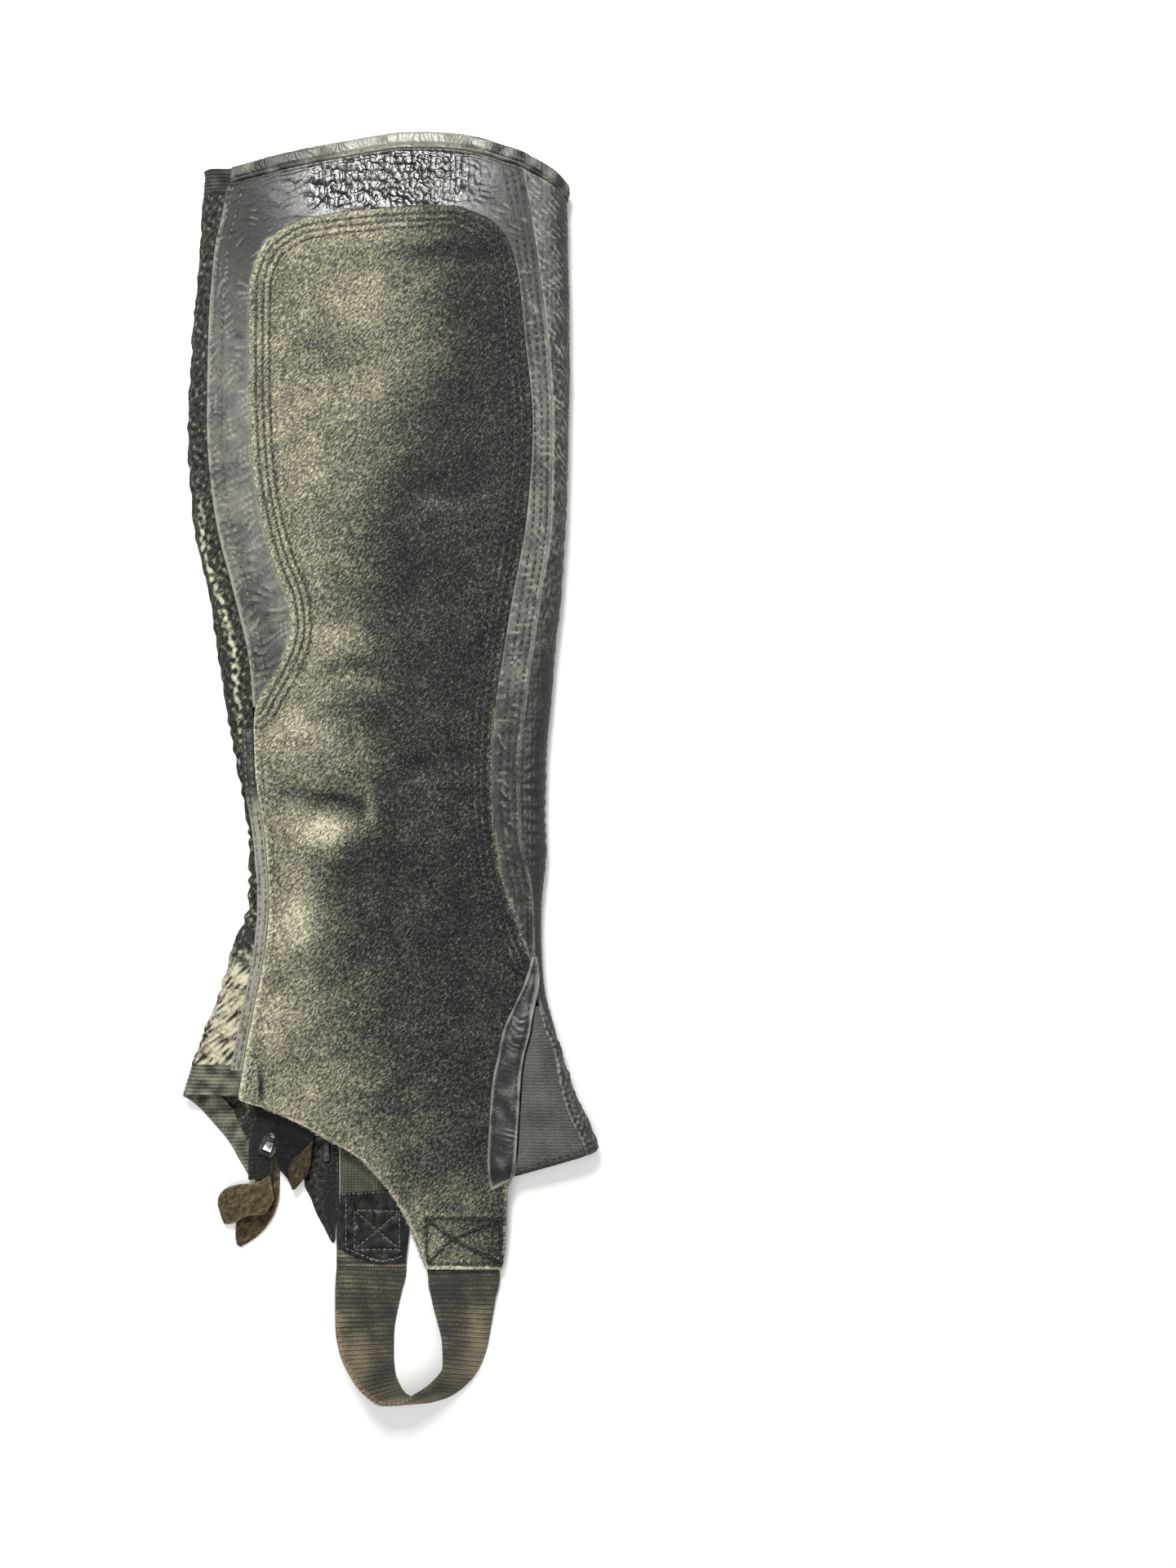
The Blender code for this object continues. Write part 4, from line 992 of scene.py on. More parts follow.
def outer_relief(u, y, inside):
    """Pebbled grain all over, a lip at the front seam, bent creases over the ankle, and a sewn
    turning along the hem and the zip."""
    seam = u - front_start(y)
    grain = 0.55 * (0.45 + 0.55 * np.clip(1 - seam / 60, 0, 1)) * (pebbles(u, y) - 0.6)
    lip = 0.3 * bell(seam - 0.8, 0.8) * (y > FRAME_FOOT)
    bend = bell(y + 20, 30)
    run = y + 0.10 * (u - 80) + 1.8 * waves(u, y, 18, 31)
    creases = 0.34 * bend * ripple(run, 5.6) * ramp(seam, 4)
    slack = bell(y - 95, 60)
    creases += 0.22 * slack * ripple(y - 0.5 * u + 3 * waves(u, y, 20, 32), 9)
    creases += 0.22 * slanting(u, y) * ramp(y - 120, 60)
    lumps = 0.3 * waves(u, y, 30, 34)
    sewn = -0.4 * bell(inside - 2.6, 0.7) * (seam > 30)
    return lifted(u, y, grain + lip + (creases + lumps) * ramp(inside, 4) + sewn)


def outer_scuff_and_painted_highlight(u, y, inside):
    """Pale cut edges, dust down the front of the calf, and painted highlights on the crests of its
    slanting wrinkles.
    """
    seam = u - front_start(y)
    calf = bell(seam, 18) * np.clip((y - 10) / 60, 0.1, 1)
    # Painted highlights on the crests of the slanting wrinkles.
    lines = 0.62 * np.clip(slanting(u, y), 0, 1) ** 2 * ramp(y - 90, 60)
    flecks = 0.10 * waves(u, y, 3.2, 35, 12)
    return 0.2 + 0.4 * bell(inside, 0.9) + (0.22 + flecks + lines) * calf


outer_parts = shares((0, 0.5, 1, 2), (40, 22, 26))
outer_leather = on_skin(
    "outer_leather_grain", denser(front_columns(outer_parts), 540), (0, LEATHER), outer_relief,
    leather_finish, {"scuff": outer_scuff_and_painted_highlight}, step=5, edge=0.6,
)
stand_for(outer_leather, "black_leather", "outer_leather_panel")


# Back panel. A black stretch nubuck gathered on its seam, so that it ruches: hardly at the calf,
# strongly towards the heel, where cream dust has settled; the crests carry painted highlights and
# the crumples painted shade. A ribbed elastic cuff ends it at each end, and a narrow tape covers
# the lower half of its seam.

STRETCH = (0.2, 1.8)    # depths of its two faces below the leather's
ON_TOP = (-1.4, -0.2)   # and of the tape sewn on it
BACK_TOP = 280.0
CUFF_HEIGHT = 12.0
HEM_CUFF_HEIGHT = 14.0
SEAM_TAPE_WIDTH = 5.2
SEAM_TAPE_ENDS = (20, -138)
# The panel's hem, by the part of the way round the back.
BACK_HEM = (
    (0, -150.3), (0.5, -149.5), (0.8, -152.5), (1, -158), (1.35, -167), (1.6, -173.5),
    (1.8, -181), (2, -189),
)
RUCHE = 8.5             # spacing of the gathers
RIB = 1.7               # spacing of the cuffs' ribs


def back_girth(part, y):
    """Girth round the back: 0 at the back seam, 1 at the fold's end, 2 at the zip."""
    back, x1, front, x2 = folds(y)
    turned = x1 - np.pi * back
    end = turned + x1 - (zip_edge(BACK_TAPE, y) - TAPE_WIDTH * 0.6)
    return in_halves(part, girth_of(section(BACK_SEAM, y), y), turned, end)


def back_grid(parts, top, rows, foot):
    """Grid round the back between two heights that vary with the part of the way round."""
    y = heights(top, rows, foot) if len(rows) else np.stack([top, (top + foot) / 2, foot])
    return paired(back_girth(parts, y), y)


def from_back_seam(u, y):
    """Distance round the back from its seam."""
    return girth_of(section(BACK_SEAM, y), y) - u


def ruches(u, y):
    """Gathers between about -1 and 1 across the panel: bowed lines that wander, sharper at the
    crests, crossed by finer ones at the heel. Their strength goes from calf to heel."""
    across_panel = from_back_seam(u, y)
    heel = ramp(-60 - y, 50)
    bow = 3.2 * np.cos(across_panel / 5.5) + 2.6 * waves(u, y, 19, 41)
    crest = ripple(y + bow + 0.35 * across_panel, RUCHE)
    crumple = ripple(0.6 * y - across_panel + 3 * waves(u, y, 11, 40), 3.8)
    strength = 0.18 + 0.82 * ramp(60 - y, 150)
    crest = crest * (1 - 0.35 * heel)
    return (0.6 * crest + 0.5 * crest * np.abs(crest)) * strength + 0.5 * heel * crumple


def slack_fold(u, y, width):
    """1 on the crest of a long slack fold beside the seam, which wanders."""
    return bell(from_back_seam(u, y) - 7 - 1.2 * waves(u, y, 40, 42), width)


def stretch_relief(u, y, inside):
    """Ruches, the slack fold down the calf, and nap."""
    across_panel = from_back_seam(u, y)
    fold = 0.9 * slack_fold(u, y, 2.2)
    fold = fold - 0.6 * bell(across_panel - 2.2, 1.6)
    fold = fold * ramp(250 - y, 60) * ramp(y + 70, 60)
    slack = 0.3 * ripple(across_panel + 0.12 * y + 1.5 * waves(u, y, 30, 39), 5.5)
    slack = slack * ramp(y - 20, 60)
    body = 0.95 * ruches(u, y) + fold + slack + 0.25 * waves(u, y, 13, 43)
    return lifted(u, y, body * ramp(inside, 4) + 0.05 * waves(u, y, 2.4, 44))


def stretch_dust_and_painted_light(u, y, inside):
    """Pale flecks of dust, painted highlights on the crests and on the slack fold down the calf,
    and a ragged patch of cream dust at the heel, paler on its crests and darker in its troughs by
    painted light and shade, crossed by dark strokes of painted shade where the cloth is crumpled."""
    crest = ruches(u, y)
    across_panel = from_back_seam(u, y)
    ridge = slack_fold(u, y, 1.6) * ramp(135 - y, 25) * ramp(y + 10, 50)
    rough = 3 * waves(u, y, 9, 38)
    heel = ramp(-82 + rough - y, 8) * ramp(26 + rough - across_panel, 6)
    along, aside = (u + y) / 2 ** 0.5, (y - u) / 2 ** 0.5
    strokes = waves(along / 3, aside, 2.4, 45, 12) + 0.6 * waves(along / 2, aside, 6, 37)
    # Cream dust at the heel; its crest term is painted light and shade, its strokes painted shade
    # of the crumples.
    dust = np.clip(0.78 + 0.16 * crest + 0.42 * strokes, 0, 1)
    flecks = 0.16 * waves(u, y, 3.5, 36, 12)
    # On the calf: dust flecks, and painted highlights on the crests and on the slack fold.
    calf = 0.15 + 0.2 * np.clip(crest, 0, 1) + flecks + 0.72 * ridge * (0.7 + 3 * flecks)
    calf = calf - 0.1 * bell(y - 2, 30)
    return np.clip(calf + (dust - calf) * heel, 0, 1)


def napped(name, shades, sizes, height, sheen):
    """Brushed leather or nubuck: a matt nap of two grains, coloured by the wear mark from dark to
    pale, where pale is dust and, on the stretch nubuck, painted highlight too, with a faint sheen
    over it."""
    material, shader = new_finish(name, {
        "Roughness": 0.9, "Specular IOR Level": 0.25,
        "Sheen Weight": sheen, "Sheen Roughness": 0.45, "Sheen Tint": colour("#9c9a86"),
    })
    place = add(material, "TexCoord", {}).outputs["Object"]
    coarse, small = sizes
    combed = brushed(material, place)
    grain = add(material, "TexNoise", {"Vector": combed, "Scale": per(coarse), "Detail": 2.0})
    grit = add(material, "TexNoise", {"Vector": place, "Scale": per(small), "Detail": 1.0})
    shade(
        material, shader, "wear", ((grain, 1.2), (grit, 0.4)), (0.72, 1.82),
        zip((0, 1, 0.35), shades), (grain, 0.5, height),
    )
    return material


stretch_finish = napped(
    "black_stretch_nubuck", ("#0c0d0c", "#c6c0a4", "#363831"), (1.1, 0.7), 0.5, 0.12,
)
back_parts = shares((0, 1, 2), (60, 26))
stretch_rows = ROWS[ROWS >= -119]
back_panel = on_skin(
    "back_stretch_ruched",
    denser(back_grid(
        back_parts, np.full(len(back_parts), BACK_TOP - CUFF_HEIGHT), stretch_rows,
        read(BACK_HEM, back_parts) + HEM_CUFF_HEIGHT,
    ), 520),
    STRETCH, stretch_relief, stretch_finish, {"wear": stretch_dust_and_painted_light}, step=5, edge=0.6,
)
stand_for(back_panel, "stretch_nubuck", "back_stretch_panel")


def cuff_relief(line):
    """Ribs that run along the cuff, parallel to the edge line, and a rolled edge there."""
    def relief(u, y, inside):
        """Waves of the distance from the line, and a soft ridge along it."""
        away = path_distance(line, u, y)
        ribs = 0.2 * ripple(away, RIB) + 0.10 * waves(u, y, 5, 46)
        return lifted(u, y, ribs + 0.35 * bell(away - 1.0, 0.9))
    return relief


def ribbed_cloth(name, shades, pitch_along, pitch_across, height):
    """Woven or knitted cloth: threads in two directions on the cloth's own map, darker between
    them, matt, and dusty by the wear mark."""
    material, shader = new_finish(name, {
        "Roughness": 0.88, "Specular IOR Level": 0.2, "Sheen Weight": 0.12,
    })
    place = add(material, "TexCoord", {})
    cloth = place.outputs["UV"]
    bands = []
    for direction, pitch in (("X", pitch_along), ("Y", pitch_across)):
        bands.append(add(
            material, "TexWave",
            {"Vector": cloth, "Scale": np.pi / 10 * per(pitch), "Distortion": 0.6, "Detail": 1.0},
            bands_direction=direction,
        ))
    ribs = add(material, "Math", {0: bands[1], 1: 0.7}, operation="MULTIPLY")
    weave = add(material, "Math", {0: bands[0], 1: 0.3, 2: ribs}, operation="MULTIPLY_ADD")
    fuzz = add(material, "TexNoise", {
        "Vector": place.outputs["Object"], "Scale": per(1.1), "Detail": 2.0,
    })
    shade(
        material, shader, "wear", ((weave, 0.35), (fuzz, 0.5)), (0.3, 1.5),
        zip((0, 1, 0.45), shades), (weave, 0.6, height),
    )
    return material


rib_finish = ribbed_cloth("black_rib_elastic", ("#121312", "#8f8b78", "#3a3a34"), 1.2, 1.7, 0.25)
cuff_parts = shares((0, 1, 2), (80, 50))
cuff_top = np.full(len(cuff_parts), BACK_TOP)
cuff_hem = read(BACK_HEM, cuff_parts)
for name, height, around, free, foot, dust, node in (
    ("back_top_cuff_ribs", CUFF_HEIGHT, 0.052, cuff_top, cuff_top - CUFF_HEIGHT, 0.28,
     "back_top_cuff"),
    ("back_hem_cuff_ribs", HEM_CUFF_HEIGHT, 0.068, cuff_hem, cuff_hem, 0.6, "back_hem_cuff"),
):
    free_edge = paired(back_girth(cuff_parts, free), free)[::4]
    cuff = on_skin(
        name, denser(back_grid(cuff_parts, foot + height, (), foot), 46), STRETCH,
        cuff_relief(free_edge), rib_finish,
        {"wear": lambda u, y, inside: dust + 0.16 * waves(u, y, 7, 47)}, step=1, edge=0.8,
    )
    stand_for(cuff, "rib_elastic", node)

tape_top, tape_foot = SEAM_TAPE_ENDS
tape_y = np.append(ROWS[(ROWS <= tape_top) & (ROWS > tape_foot)], tape_foot)
tape_seam = girth_of(section(BACK_SEAM, tape_y), tape_y)
tape_edges = [paired(tape_seam - width, tape_y) for width in (SEAM_TAPE_WIDTH, 0.0)]


def tape_relief(u, y, inside):
    """Two sewn rows and a frayed, lumpy edge."""
    sewn = -0.35 * bell(inside - 1.3, 0.5)
    return sewn + 0.08 * waves(u, y, 3.4, 48) + 0.2 * waves(u, y, 14, 49)


def tape_scuff(u, y, inside):
    """Dusty, with pale edges, and dark where it starts under the frame."""
    rows = 0.3 * bell(inside, 0.8) - 0.3 * bell(inside - 1.4, 0.4)
    return (0.98 + rows + 0.25 * waves(u, y, 4, 50)) * np.clip(-y / 24, 0.15, 1)


seam_tape = on_skin(
    "back_seam_tape_sewn", fine(across(*tape_edges, 3), 260, 10), ON_TOP, tape_relief,
    leather_finish, {"scuff": tape_scuff}, step=3, edge=0.5,
)
stand_for(seam_tape, "black_leather", "back_seam_tape")


# Ankle. A smooth leather trim covers the suede's front edge. Beside it a triangle of grey woven
# elastic lets the foot in, and the outer leather is turned over its other side as a rough binding.

TRIM = (-2.5, -1.1)     # depths of the trim's two faces
GUSSET = (0.3, 1.7)     # and of the gusset's
TRIM_FOOT = (-194.0, -188.3)        # height of the trim's foot at its back and front edge
GUSSET_FOOT = (-187.2, -177.0)      # and of the gusset's
UNDER_TRIM = 0.6        # gap between the suede and the gusset, which the trim covers
# The trim's edge on the suede.
TRIM_INNER = (
    (65, -85), (62, -98), (56.5, -110), (52, -121), (50, -132), (47.5, -144),
    (46, -165), (45.2, -187), (46.6, -194),
)


def foot_rows(first, foot):
    """Rows from a height down and on to the foot."""
    rows = ROWS[ROWS <= first]
    return np.concatenate([rows, rows[-1] + BELOW * (foot - rows[-1])])


def trim_relief(u, y, inside):
    """Raised raw edges with a thread row inside each, and fine wrinkles across the strip."""
    edges = 0.45 * bell(inside - 0.7, 0.6)
    sewn = -0.45 * bell(inside - 2.1, 0.5)
    run = y + 0.3 * u + 1.4 * waves(u, y, 9, 51)
    slack = 0.12 + 0.88 * bell(y + 120, 14)
    across_strip = 0.16 * slack * ripple(run, 3.6) * ramp(inside - 2, 2)
    return edges + sewn + across_strip + 0.2 * waves(u, y, 14, 52)


def trim_scuff(u, y, inside):
    """Worn pale along both edges, with short scuffs where the boot rubs."""
    streaks = np.clip(ripple(y + 0.25 * u, 2.4), 0, 1) ** 2
    rubbed = 0.8 * streaks * bell(y + 167, 3.5) * bell(u - 56, 4)
    edge = 0.45 * bell(inside - 0.6, 0.8)
    return np.clip(0.36 + edge + rubbed + 0.1 * waves(u, y, 9, 53), 0, 1)


trim_back = foot_rows(FRAME_FOOT, TRIM_FOOT[0])
trim_front = foot_rows(FRAME_FOOT, TRIM_FOOT[1])
smooth_leather = black_leather(
    "black_smooth_calf", ("#0f1010", "#85857b", "#2b2d2c"), 0.38, 2.6, 0.08,
)
trim = on_skin(
    "ankle_trim_strip",
    fine(across(edge_at(TRIM_INNER, trim_back), edge_at(ANKLE_FRONT, trim_front), 4), 260, 30),
    TRIM, trim_relief, smooth_leather, {"scuff": trim_scuff}, step=4, edge=0.5,
)
stand_for(trim, "black_leather", "ankle_trim")


def gusset_edge():
    """Points (u, y) down the gusset's outer edge, where its binding starts."""
    return edge_at(GUSSET_OUTER, foot_rows(GUSSET_TOP, GUSSET_FOOT[1]))


gusset_back = foot_rows(GUSSET_TOP, GUSSET_FOOT[0])
gusset_inner = upper_edge(x_at(ANKLE_FRONT, gusset_back) + UNDER_TRIM, gusset_back)
gusset_hem = np.stack([gusset_inner[-1], gusset_edge()[-1]])


def gusset_relief(u, y, inside):
    """Cross ribs parallel to the hem, and a rolled hem between two sewn lines."""
    away = path_distance(gusset_hem, u, y)
    ribs = 0.12 * ripple(away, 1.5)
    hem = 0.45 * bell(away - 1.2, 1.0) - 0.4 * bell(away - 3.1, 0.5)
    return ribs + hem + 0.35 * waves(u, y, 30, 54) * ramp(inside, 3)


def gusset_wear(u, y, inside):
    """Grey, with a dark hem."""
    hem = bell(path_distance(gusset_hem, u, y), 2.2, 4)
    return 0.62 - 0.5 * hem + 0.1 * waves(u, y, 20, 55)


gusset_finish = ribbed_cloth(
    "grey_woven_elastic", ("#191a18", "#6e6f66", "#3d3e3a"), 1.1, 1.5, 0.35,
)
gusset = on_skin(
    "ankle_gusset_weave", fine(across(gusset_inner, gusset_edge(), 7), 230, 60), GUSSET,
    gusset_relief, gusset_finish, {"wear": gusset_wear}, step=4, edge=0.5,
)
stand_for(gusset, "grey_elastic", "ankle_gusset")

binding_y = foot_rows(GUSSET_TOP, OUTER_HEM[0][1])
binding_fold = paired(front_start(binding_y) - 0.2, binding_y)


def raw_relief(u, y, inside):
    """A turned edge, cut raw: lumpy, with one sewn row and a knob at its foot."""
    sewn = -0.35 * bell(inside - 2.2, 0.6)
    knob = 1.1 * bell(y + 171, 3.5) * bell(inside - 4, 3)
    return sewn + knob + 0.16 * waves(u, y, 3.2, 56) + 0.3 * waves(u, y, 9, 57)


def raw_scuff(u, y, inside):
    """Pale along its two edges, and blotchy between."""
    return 0.4 + 0.35 * bell(inside, 0.8) + 0.17 * waves(u, y, 2.8, 58)


gusset_binding = on_skin(
    "gusset_binding_raw", fine(across(gusset_edge(), binding_fold, 5), 200, 26), (-0.8, LEATHER),
    raw_relief, leather_finish, {"scuff": raw_scuff}, step=3, edge=0.7,
)
stand_for(gusset_binding, "black_leather", "gusset_binding")


# Under the tongue: an olive rib knit joins the outer leather to a leather tab, to which the strap
# is sewn with a box and a cross.

#  left_x left_y right_x right_y z
KNIT = ((-24.5, -173.5, 12.0, -173.9, 0), (-24.5, -201.3, 12.0, -201.3, 0))
TAB = (
    (-24.3, -197.5, -1, -196, 2.1), (-24.6, -207, 7.6, -206, 2.1),
    (-25.8, -214.5, 8, -214.5, 2.1), (-26, -220, 7.4, -222, 2.1),
    (-22.5, -224.5, 6.3, -228.4, 2.1), (-12, -229.3, -4.5, -230.8, 2.1),
)
TAB_THICKNESS = 1.6
KNIT_RIB = 1.6
TAB_ROWS = (
    ((-21.5, -199), (-21.5, -223), (-11, -227.3), (-4.5, -228.8), (5, -226.5)),
    ((-17.4, -205), (-17.4, -223.5), (3.6, -223.5), (3.6, -205.5), (-17.4, -205)),
    ((-17, -205.5), (3.2, -223)), ((3.2, -206), (-17, -223)),
)


def flat_piece(name, rows, thickness, counts, relief, material, marks):
    """Cloth that lies flat, from a table of its rows: the left and right end and the height."""
    def face_of(points, raised):
        """The table's own points, or those moved straight up."""
        return points if raised is None else points + (thickness + raised)[..., None] * (0, 0, 1)
    rows = np.array(rows, float)
    grid = fine(across(rows[:, [0, 1, 4]], rows[:, [2, 3, 4]], 3), *counts)
    return laid(name, grid, face_of, relief, material, marks, step=3, edge=0.5)


def knit_relief(x, y, inside):
    """Upright ribs, each a row of small loops."""
    ribs = 0.5 * np.abs(np.sin(np.pi * x / KNIT_RIB)) ** 0.7
    loops = 0.14 * ripple(y + 0.3 * x, 1.3)
    return ribs + loops * ribs - 0.4


knit_finish = ribbed_cloth("olive_rib_knit", ("#1d1e16", "#77776a", "#46483c"), KNIT_RIB, 1.3, 0.3)
knit = flat_piece(
    "knit_insert_ribs", KNIT, LEATHER, (80, 130), knit_relief, knit_finish,
    {"wear": lambda x, y, inside: 0.42 + 0.12 * waves(x, y, 9, 61)},
)
stand_for(knit, "olive_knit", "knit_insert")


def tab_relief(x, y, inside):
    """Upright gathers beside the knit, and the pull of the box and cross."""
    gathers = 0.32 * np.cos(2 * np.pi * (x + 0.8 * waves(x, y, 12, 62)) / 3.4)
    gathers = gathers * bell(x + 16, 9)
    sewn = sum(-0.35 * bell(path_distance(row, x, y), 0.6) for row in TAB_ROWS)
    return gathers + sewn + 0.2 * waves(x, y, 8, 63) - 0.2


tab = flat_piece(
    "strap_tab_leather", TAB, TAB_THICKNESS, (80, 80), tab_relief, smooth_leather,
    {"scuff": lambda x, y, inside: 0.10 + 0.12 * waves(x, y, 6, 64)},
)
stand_for(tab, "black_leather", "strap_tab")


# Strap. Ribbed elastic webbing from the tongue round under the foot to the tab. Its rim edge is
# whipped with tan thread, and mud has stained its lower half.

# One row per section along the ribbon, from the tongue: its raised rim, the edge that it stands on,
# and the straight distance between the two, which gives the rim's height.
#  rim_x  rim_y  foot_x foot_y foot_z chord
STRAP = (
    (16, -218, 49.5, -217, 2.9, 33.5),
    (17, -237, 50.5, -236, 2.7, 33.5),
    (19.5, -245, 48.3, -247.5, 1.8, 30.5),
    (22.5, -252.5, 46.5, -258, 0.9, 30),
    (25, -261.5, 44.5, -269, 0.3, 29.5),
    (25.5, -271.5, 40.5, -280, 0, 29),
    (20.5, -279, 34, -288, 0, 29),
    (13.5, -284, 25, -293.5, 0, 29),
    (6, -287.3, 14.5, -295.5, 0, 29),
    (-2.5, -287.8, 7, -293, 0, 29),
    (-10.5, -283.5, 2.8, -287, 0, 29),
    (-16.5, -277, 1, -281.5, 0, 29),
    (-21.5, -269, 0.4, -273, 0, 29.5),
    (-24.2, -259.5, 0.6, -263, 0, 30),
    (-25.2, -249, 2.4, -252, 0, 30.5),
    (-25.8, -241, 4.4, -243.5, 0, 31.5),
    (-26.3, -233, 6.5, -233.5, 0, 32.8),
    (-26.3, -203, 6.8, -203, 0, 33.1),
)
STRAP_THICKNESS = 1.7
STRAP_WIDTH = 33.5
STRAP_RIB = 2.1
STRAP_ROWS = 470
STRAP_COLUMNS = 26
#    x    y  half_x half_y strength     tan mud on the elastic, darker where it is negative
STRAP_MUD = (
    (40, -262, 6, 16, 0.38), (36, -279, 9, 7, 0.28), (-16, -272, 8, 12, 0.40),
    (-12, -254, 12, 6, -0.06), (8, -290, 14, 4, 0.42), (30, -240, 20, 12, -0.12),
    (-14, -232, 14, 8, 0.06), (-22, -255, 3, 12, 0.2),
)


def strap_ribbon():
    """Middle surface of the ribbon, ruled between its two edges, its square direction, and the
    run along it."""
    rows = np.array(STRAP)
    at = np.linspace(0, len(rows) - 1, STRAP_ROWS)
    rim_x, rim_y, foot_x, foot_y, foot_z, chord = (
        through(np.arange(len(rows)), column, at) for column in rows.T
    )
    flat = np.hypot(rim_x - foot_x, rim_y - foot_y)
    rim_z = foot_z + np.sqrt(np.maximum(chord ** 2 - flat ** 2, 0))
    foot = np.stack([foot_x, foot_y, foot_z], axis=-1)
    middle = across(foot, np.stack([rim_x, rim_y, rim_z], axis=-1), STRAP_COLUMNS)
    square = np.cross(np.gradient(middle, axis=0), np.gradient(middle, axis=1))
    square /= np.linalg.norm(square, axis=-1, keepdims=True)
    middle[..., 2] += STRAP_THICKNESS / 2 * np.abs(square[..., 2])
    return middle, square, run_of(middle[:, STRAP_COLUMNS // 2])


strap_middle, strap_square, strap_run = strap_ribbon()
strap_across = np.linspace(0, STRAP_WIDTH, STRAP_COLUMNS)
strap_ribs = ripple(strap_run, STRAP_RIB)[:, None] ** 2
strap_edge = np.minimum(strap_across, strap_across[::-1])[None, :]
strap_raised = 0.75 * strap_ribs * np.clip(strap_edge / 2.5, 0.15, 1)
strap_half = STRAP_THICKNESS / 2 - round_off(strap_edge + 0.1, 0.7)
strap_faces = [
    strap_middle + side * (strap_half - 0.3 + strap_raised)[..., None] * strap_square
    for side in (1, -1)
]
for face in strap_faces:
    face[..., 2] = np.maximum(face[..., 2], 0)
strap_uv = np.stack(np.broadcast_arrays(strap_across[None, :], strap_run[:, None]), axis=-1)
strap_x, strap_y = strap_middle[..., 0], strap_middle[..., 1]
strap_wear = 0.27 + bells(strap_x, strap_y, STRAP_MUD) + 0.24 * strap_ribs
strap_wear = strap_wear + 0.06 * waves(strap_x, strap_y, 9, 71)
strap_finish = ribbed_cloth(
    "ribbed_strap_elastic", ("#11110e", "#a89a79", "#43413a"), 1.4, STRAP_RIB, 0.3,
)
strap = shell(
    "stirrup_strap_ribs", strap_faces[0], lambda a, b: strap_faces[1][np.ix_(a, b)], strap_uv,
    strap_finish, {"wear": np.clip(strap_wear, 0, 1)}, step=1,
)
stand_for(strap, "strap_webbing", "stirrup_strap")


# Zip. Two woven tapes on the inner face of the underside, a row of moulded teeth along each, the
# slider at the foot of the back one and the pin at the foot of the front one.

TAPE = (2.1, 3.1)       # heights of the tapes' faces above the table
CHAIN = (1.3, 4.0)      # and of the teeth
TOOTH_PITCH = 2.6
FRONT_TAPE_END = (
    (-28.6, -173.4, -24.9, -173.4, 2.1), (-28.6, -182.5, -24.9, -182.5, 2.1),
    (-30.8, -184, -24.9, -184, 2.1), (-33.2, -196, -24.9, -196, 2.1),
    (-33, -206, -25, -206, 2.1), (-30.5, -214, -26.6, -214, 2.1),
    (-28.4, -219.5, -26.8, -219.8, 2.1),
)
SLIDER_AT = (-57.2, -174.5)
SLIDER_TURN = np.radians(-24)
SLIDER_SIZE = (4.2, 11.0)           # half its width, and its length
RAIL_AT = 3.3           # distance of its rails from its middle
BRIDGE_SLOPE = 0.45     # the slider's bridge, which holds the pull, falls towards the knee
PIN_SIZE = (3.2, 9.4, 2.6)          # width, length and height
PIN_AT = (-30.6, -177.6, 2.5)       # its middle


def tape_rows(y, left, right):
    """A table of rows for a flat piece between two edges."""
    return np.stack([left + 0 * y, y, right + 0 * y, y, TAPE[0] + 0 * y], axis=-1)


def weave_relief(x, y, inside):
    """Coarse twill and a cord woven in near the edge."""
    twill = 0.09 * ripple(y + 0.6 * x, 1.7)
    return twill + 0.25 * bell(inside - 0.8, 0.5) - 0.15


def tape_wear(x, y, inside):
    """Dark, with dust in flecks and on the cord near the edge."""
    return 0.2 + 0.2 * bell(inside - 0.8, 0.5) + 0.15 * waves(x, y, 2.2, 65, 12)


tape_finish = ribbed_cloth("black_zip_tape", ("#0f100f", "#6a6a62", "#252623"), 1.0, 1.2, 0.25)

back_y = np.concatenate([[279.0], ROWS, [-162.0, -166.5, -171.0, -181.0, -191.0]])
back_edge = zip_edge(BACK_TAPE, back_y)
back_width = np.where(back_y < -160, FRONT_TAPE_WIDTH, TAPE_WIDTH)
foot_spread = np.interp(-back_y, (160, 166), (0, 3.3))  # the back tape's free end lies spread out
front_y = np.concatenate([[282.0], ROWS, [-162.0, -172.8]])
front_edge = zip_edge(FRONT_TAPE, front_y)
for name, rows, counts, node, flat, area in (
    ("zip_tape_back_weave",
     tape_rows(back_y, back_edge - back_width, back_edge - 0.4 + foot_spread),
     (420, 20), "zip_tape_back", (TAPE_WIDTH * MM, 0.470), 0.0069),
    ("zip_tape_front_weave",
     tape_rows(front_y, front_edge + 0.4, front_edge + FRONT_TAPE_WIDTH),
     (420, 14), "zip_tape_front", (0.010, 0.455), 0.0040),
    ("zip_tape_front_end_weave", FRONT_TAPE_END, (90, 16), "zip_tape_front_end",
     (0.010, 0.047), 0.00028),
):
    tape = flat_piece(
        name, rows, TAPE[1] - TAPE[0], counts, weave_relief, tape_finish, {"wear": tape_wear},
    )
    stand_for(tape, "zip_tape", node)


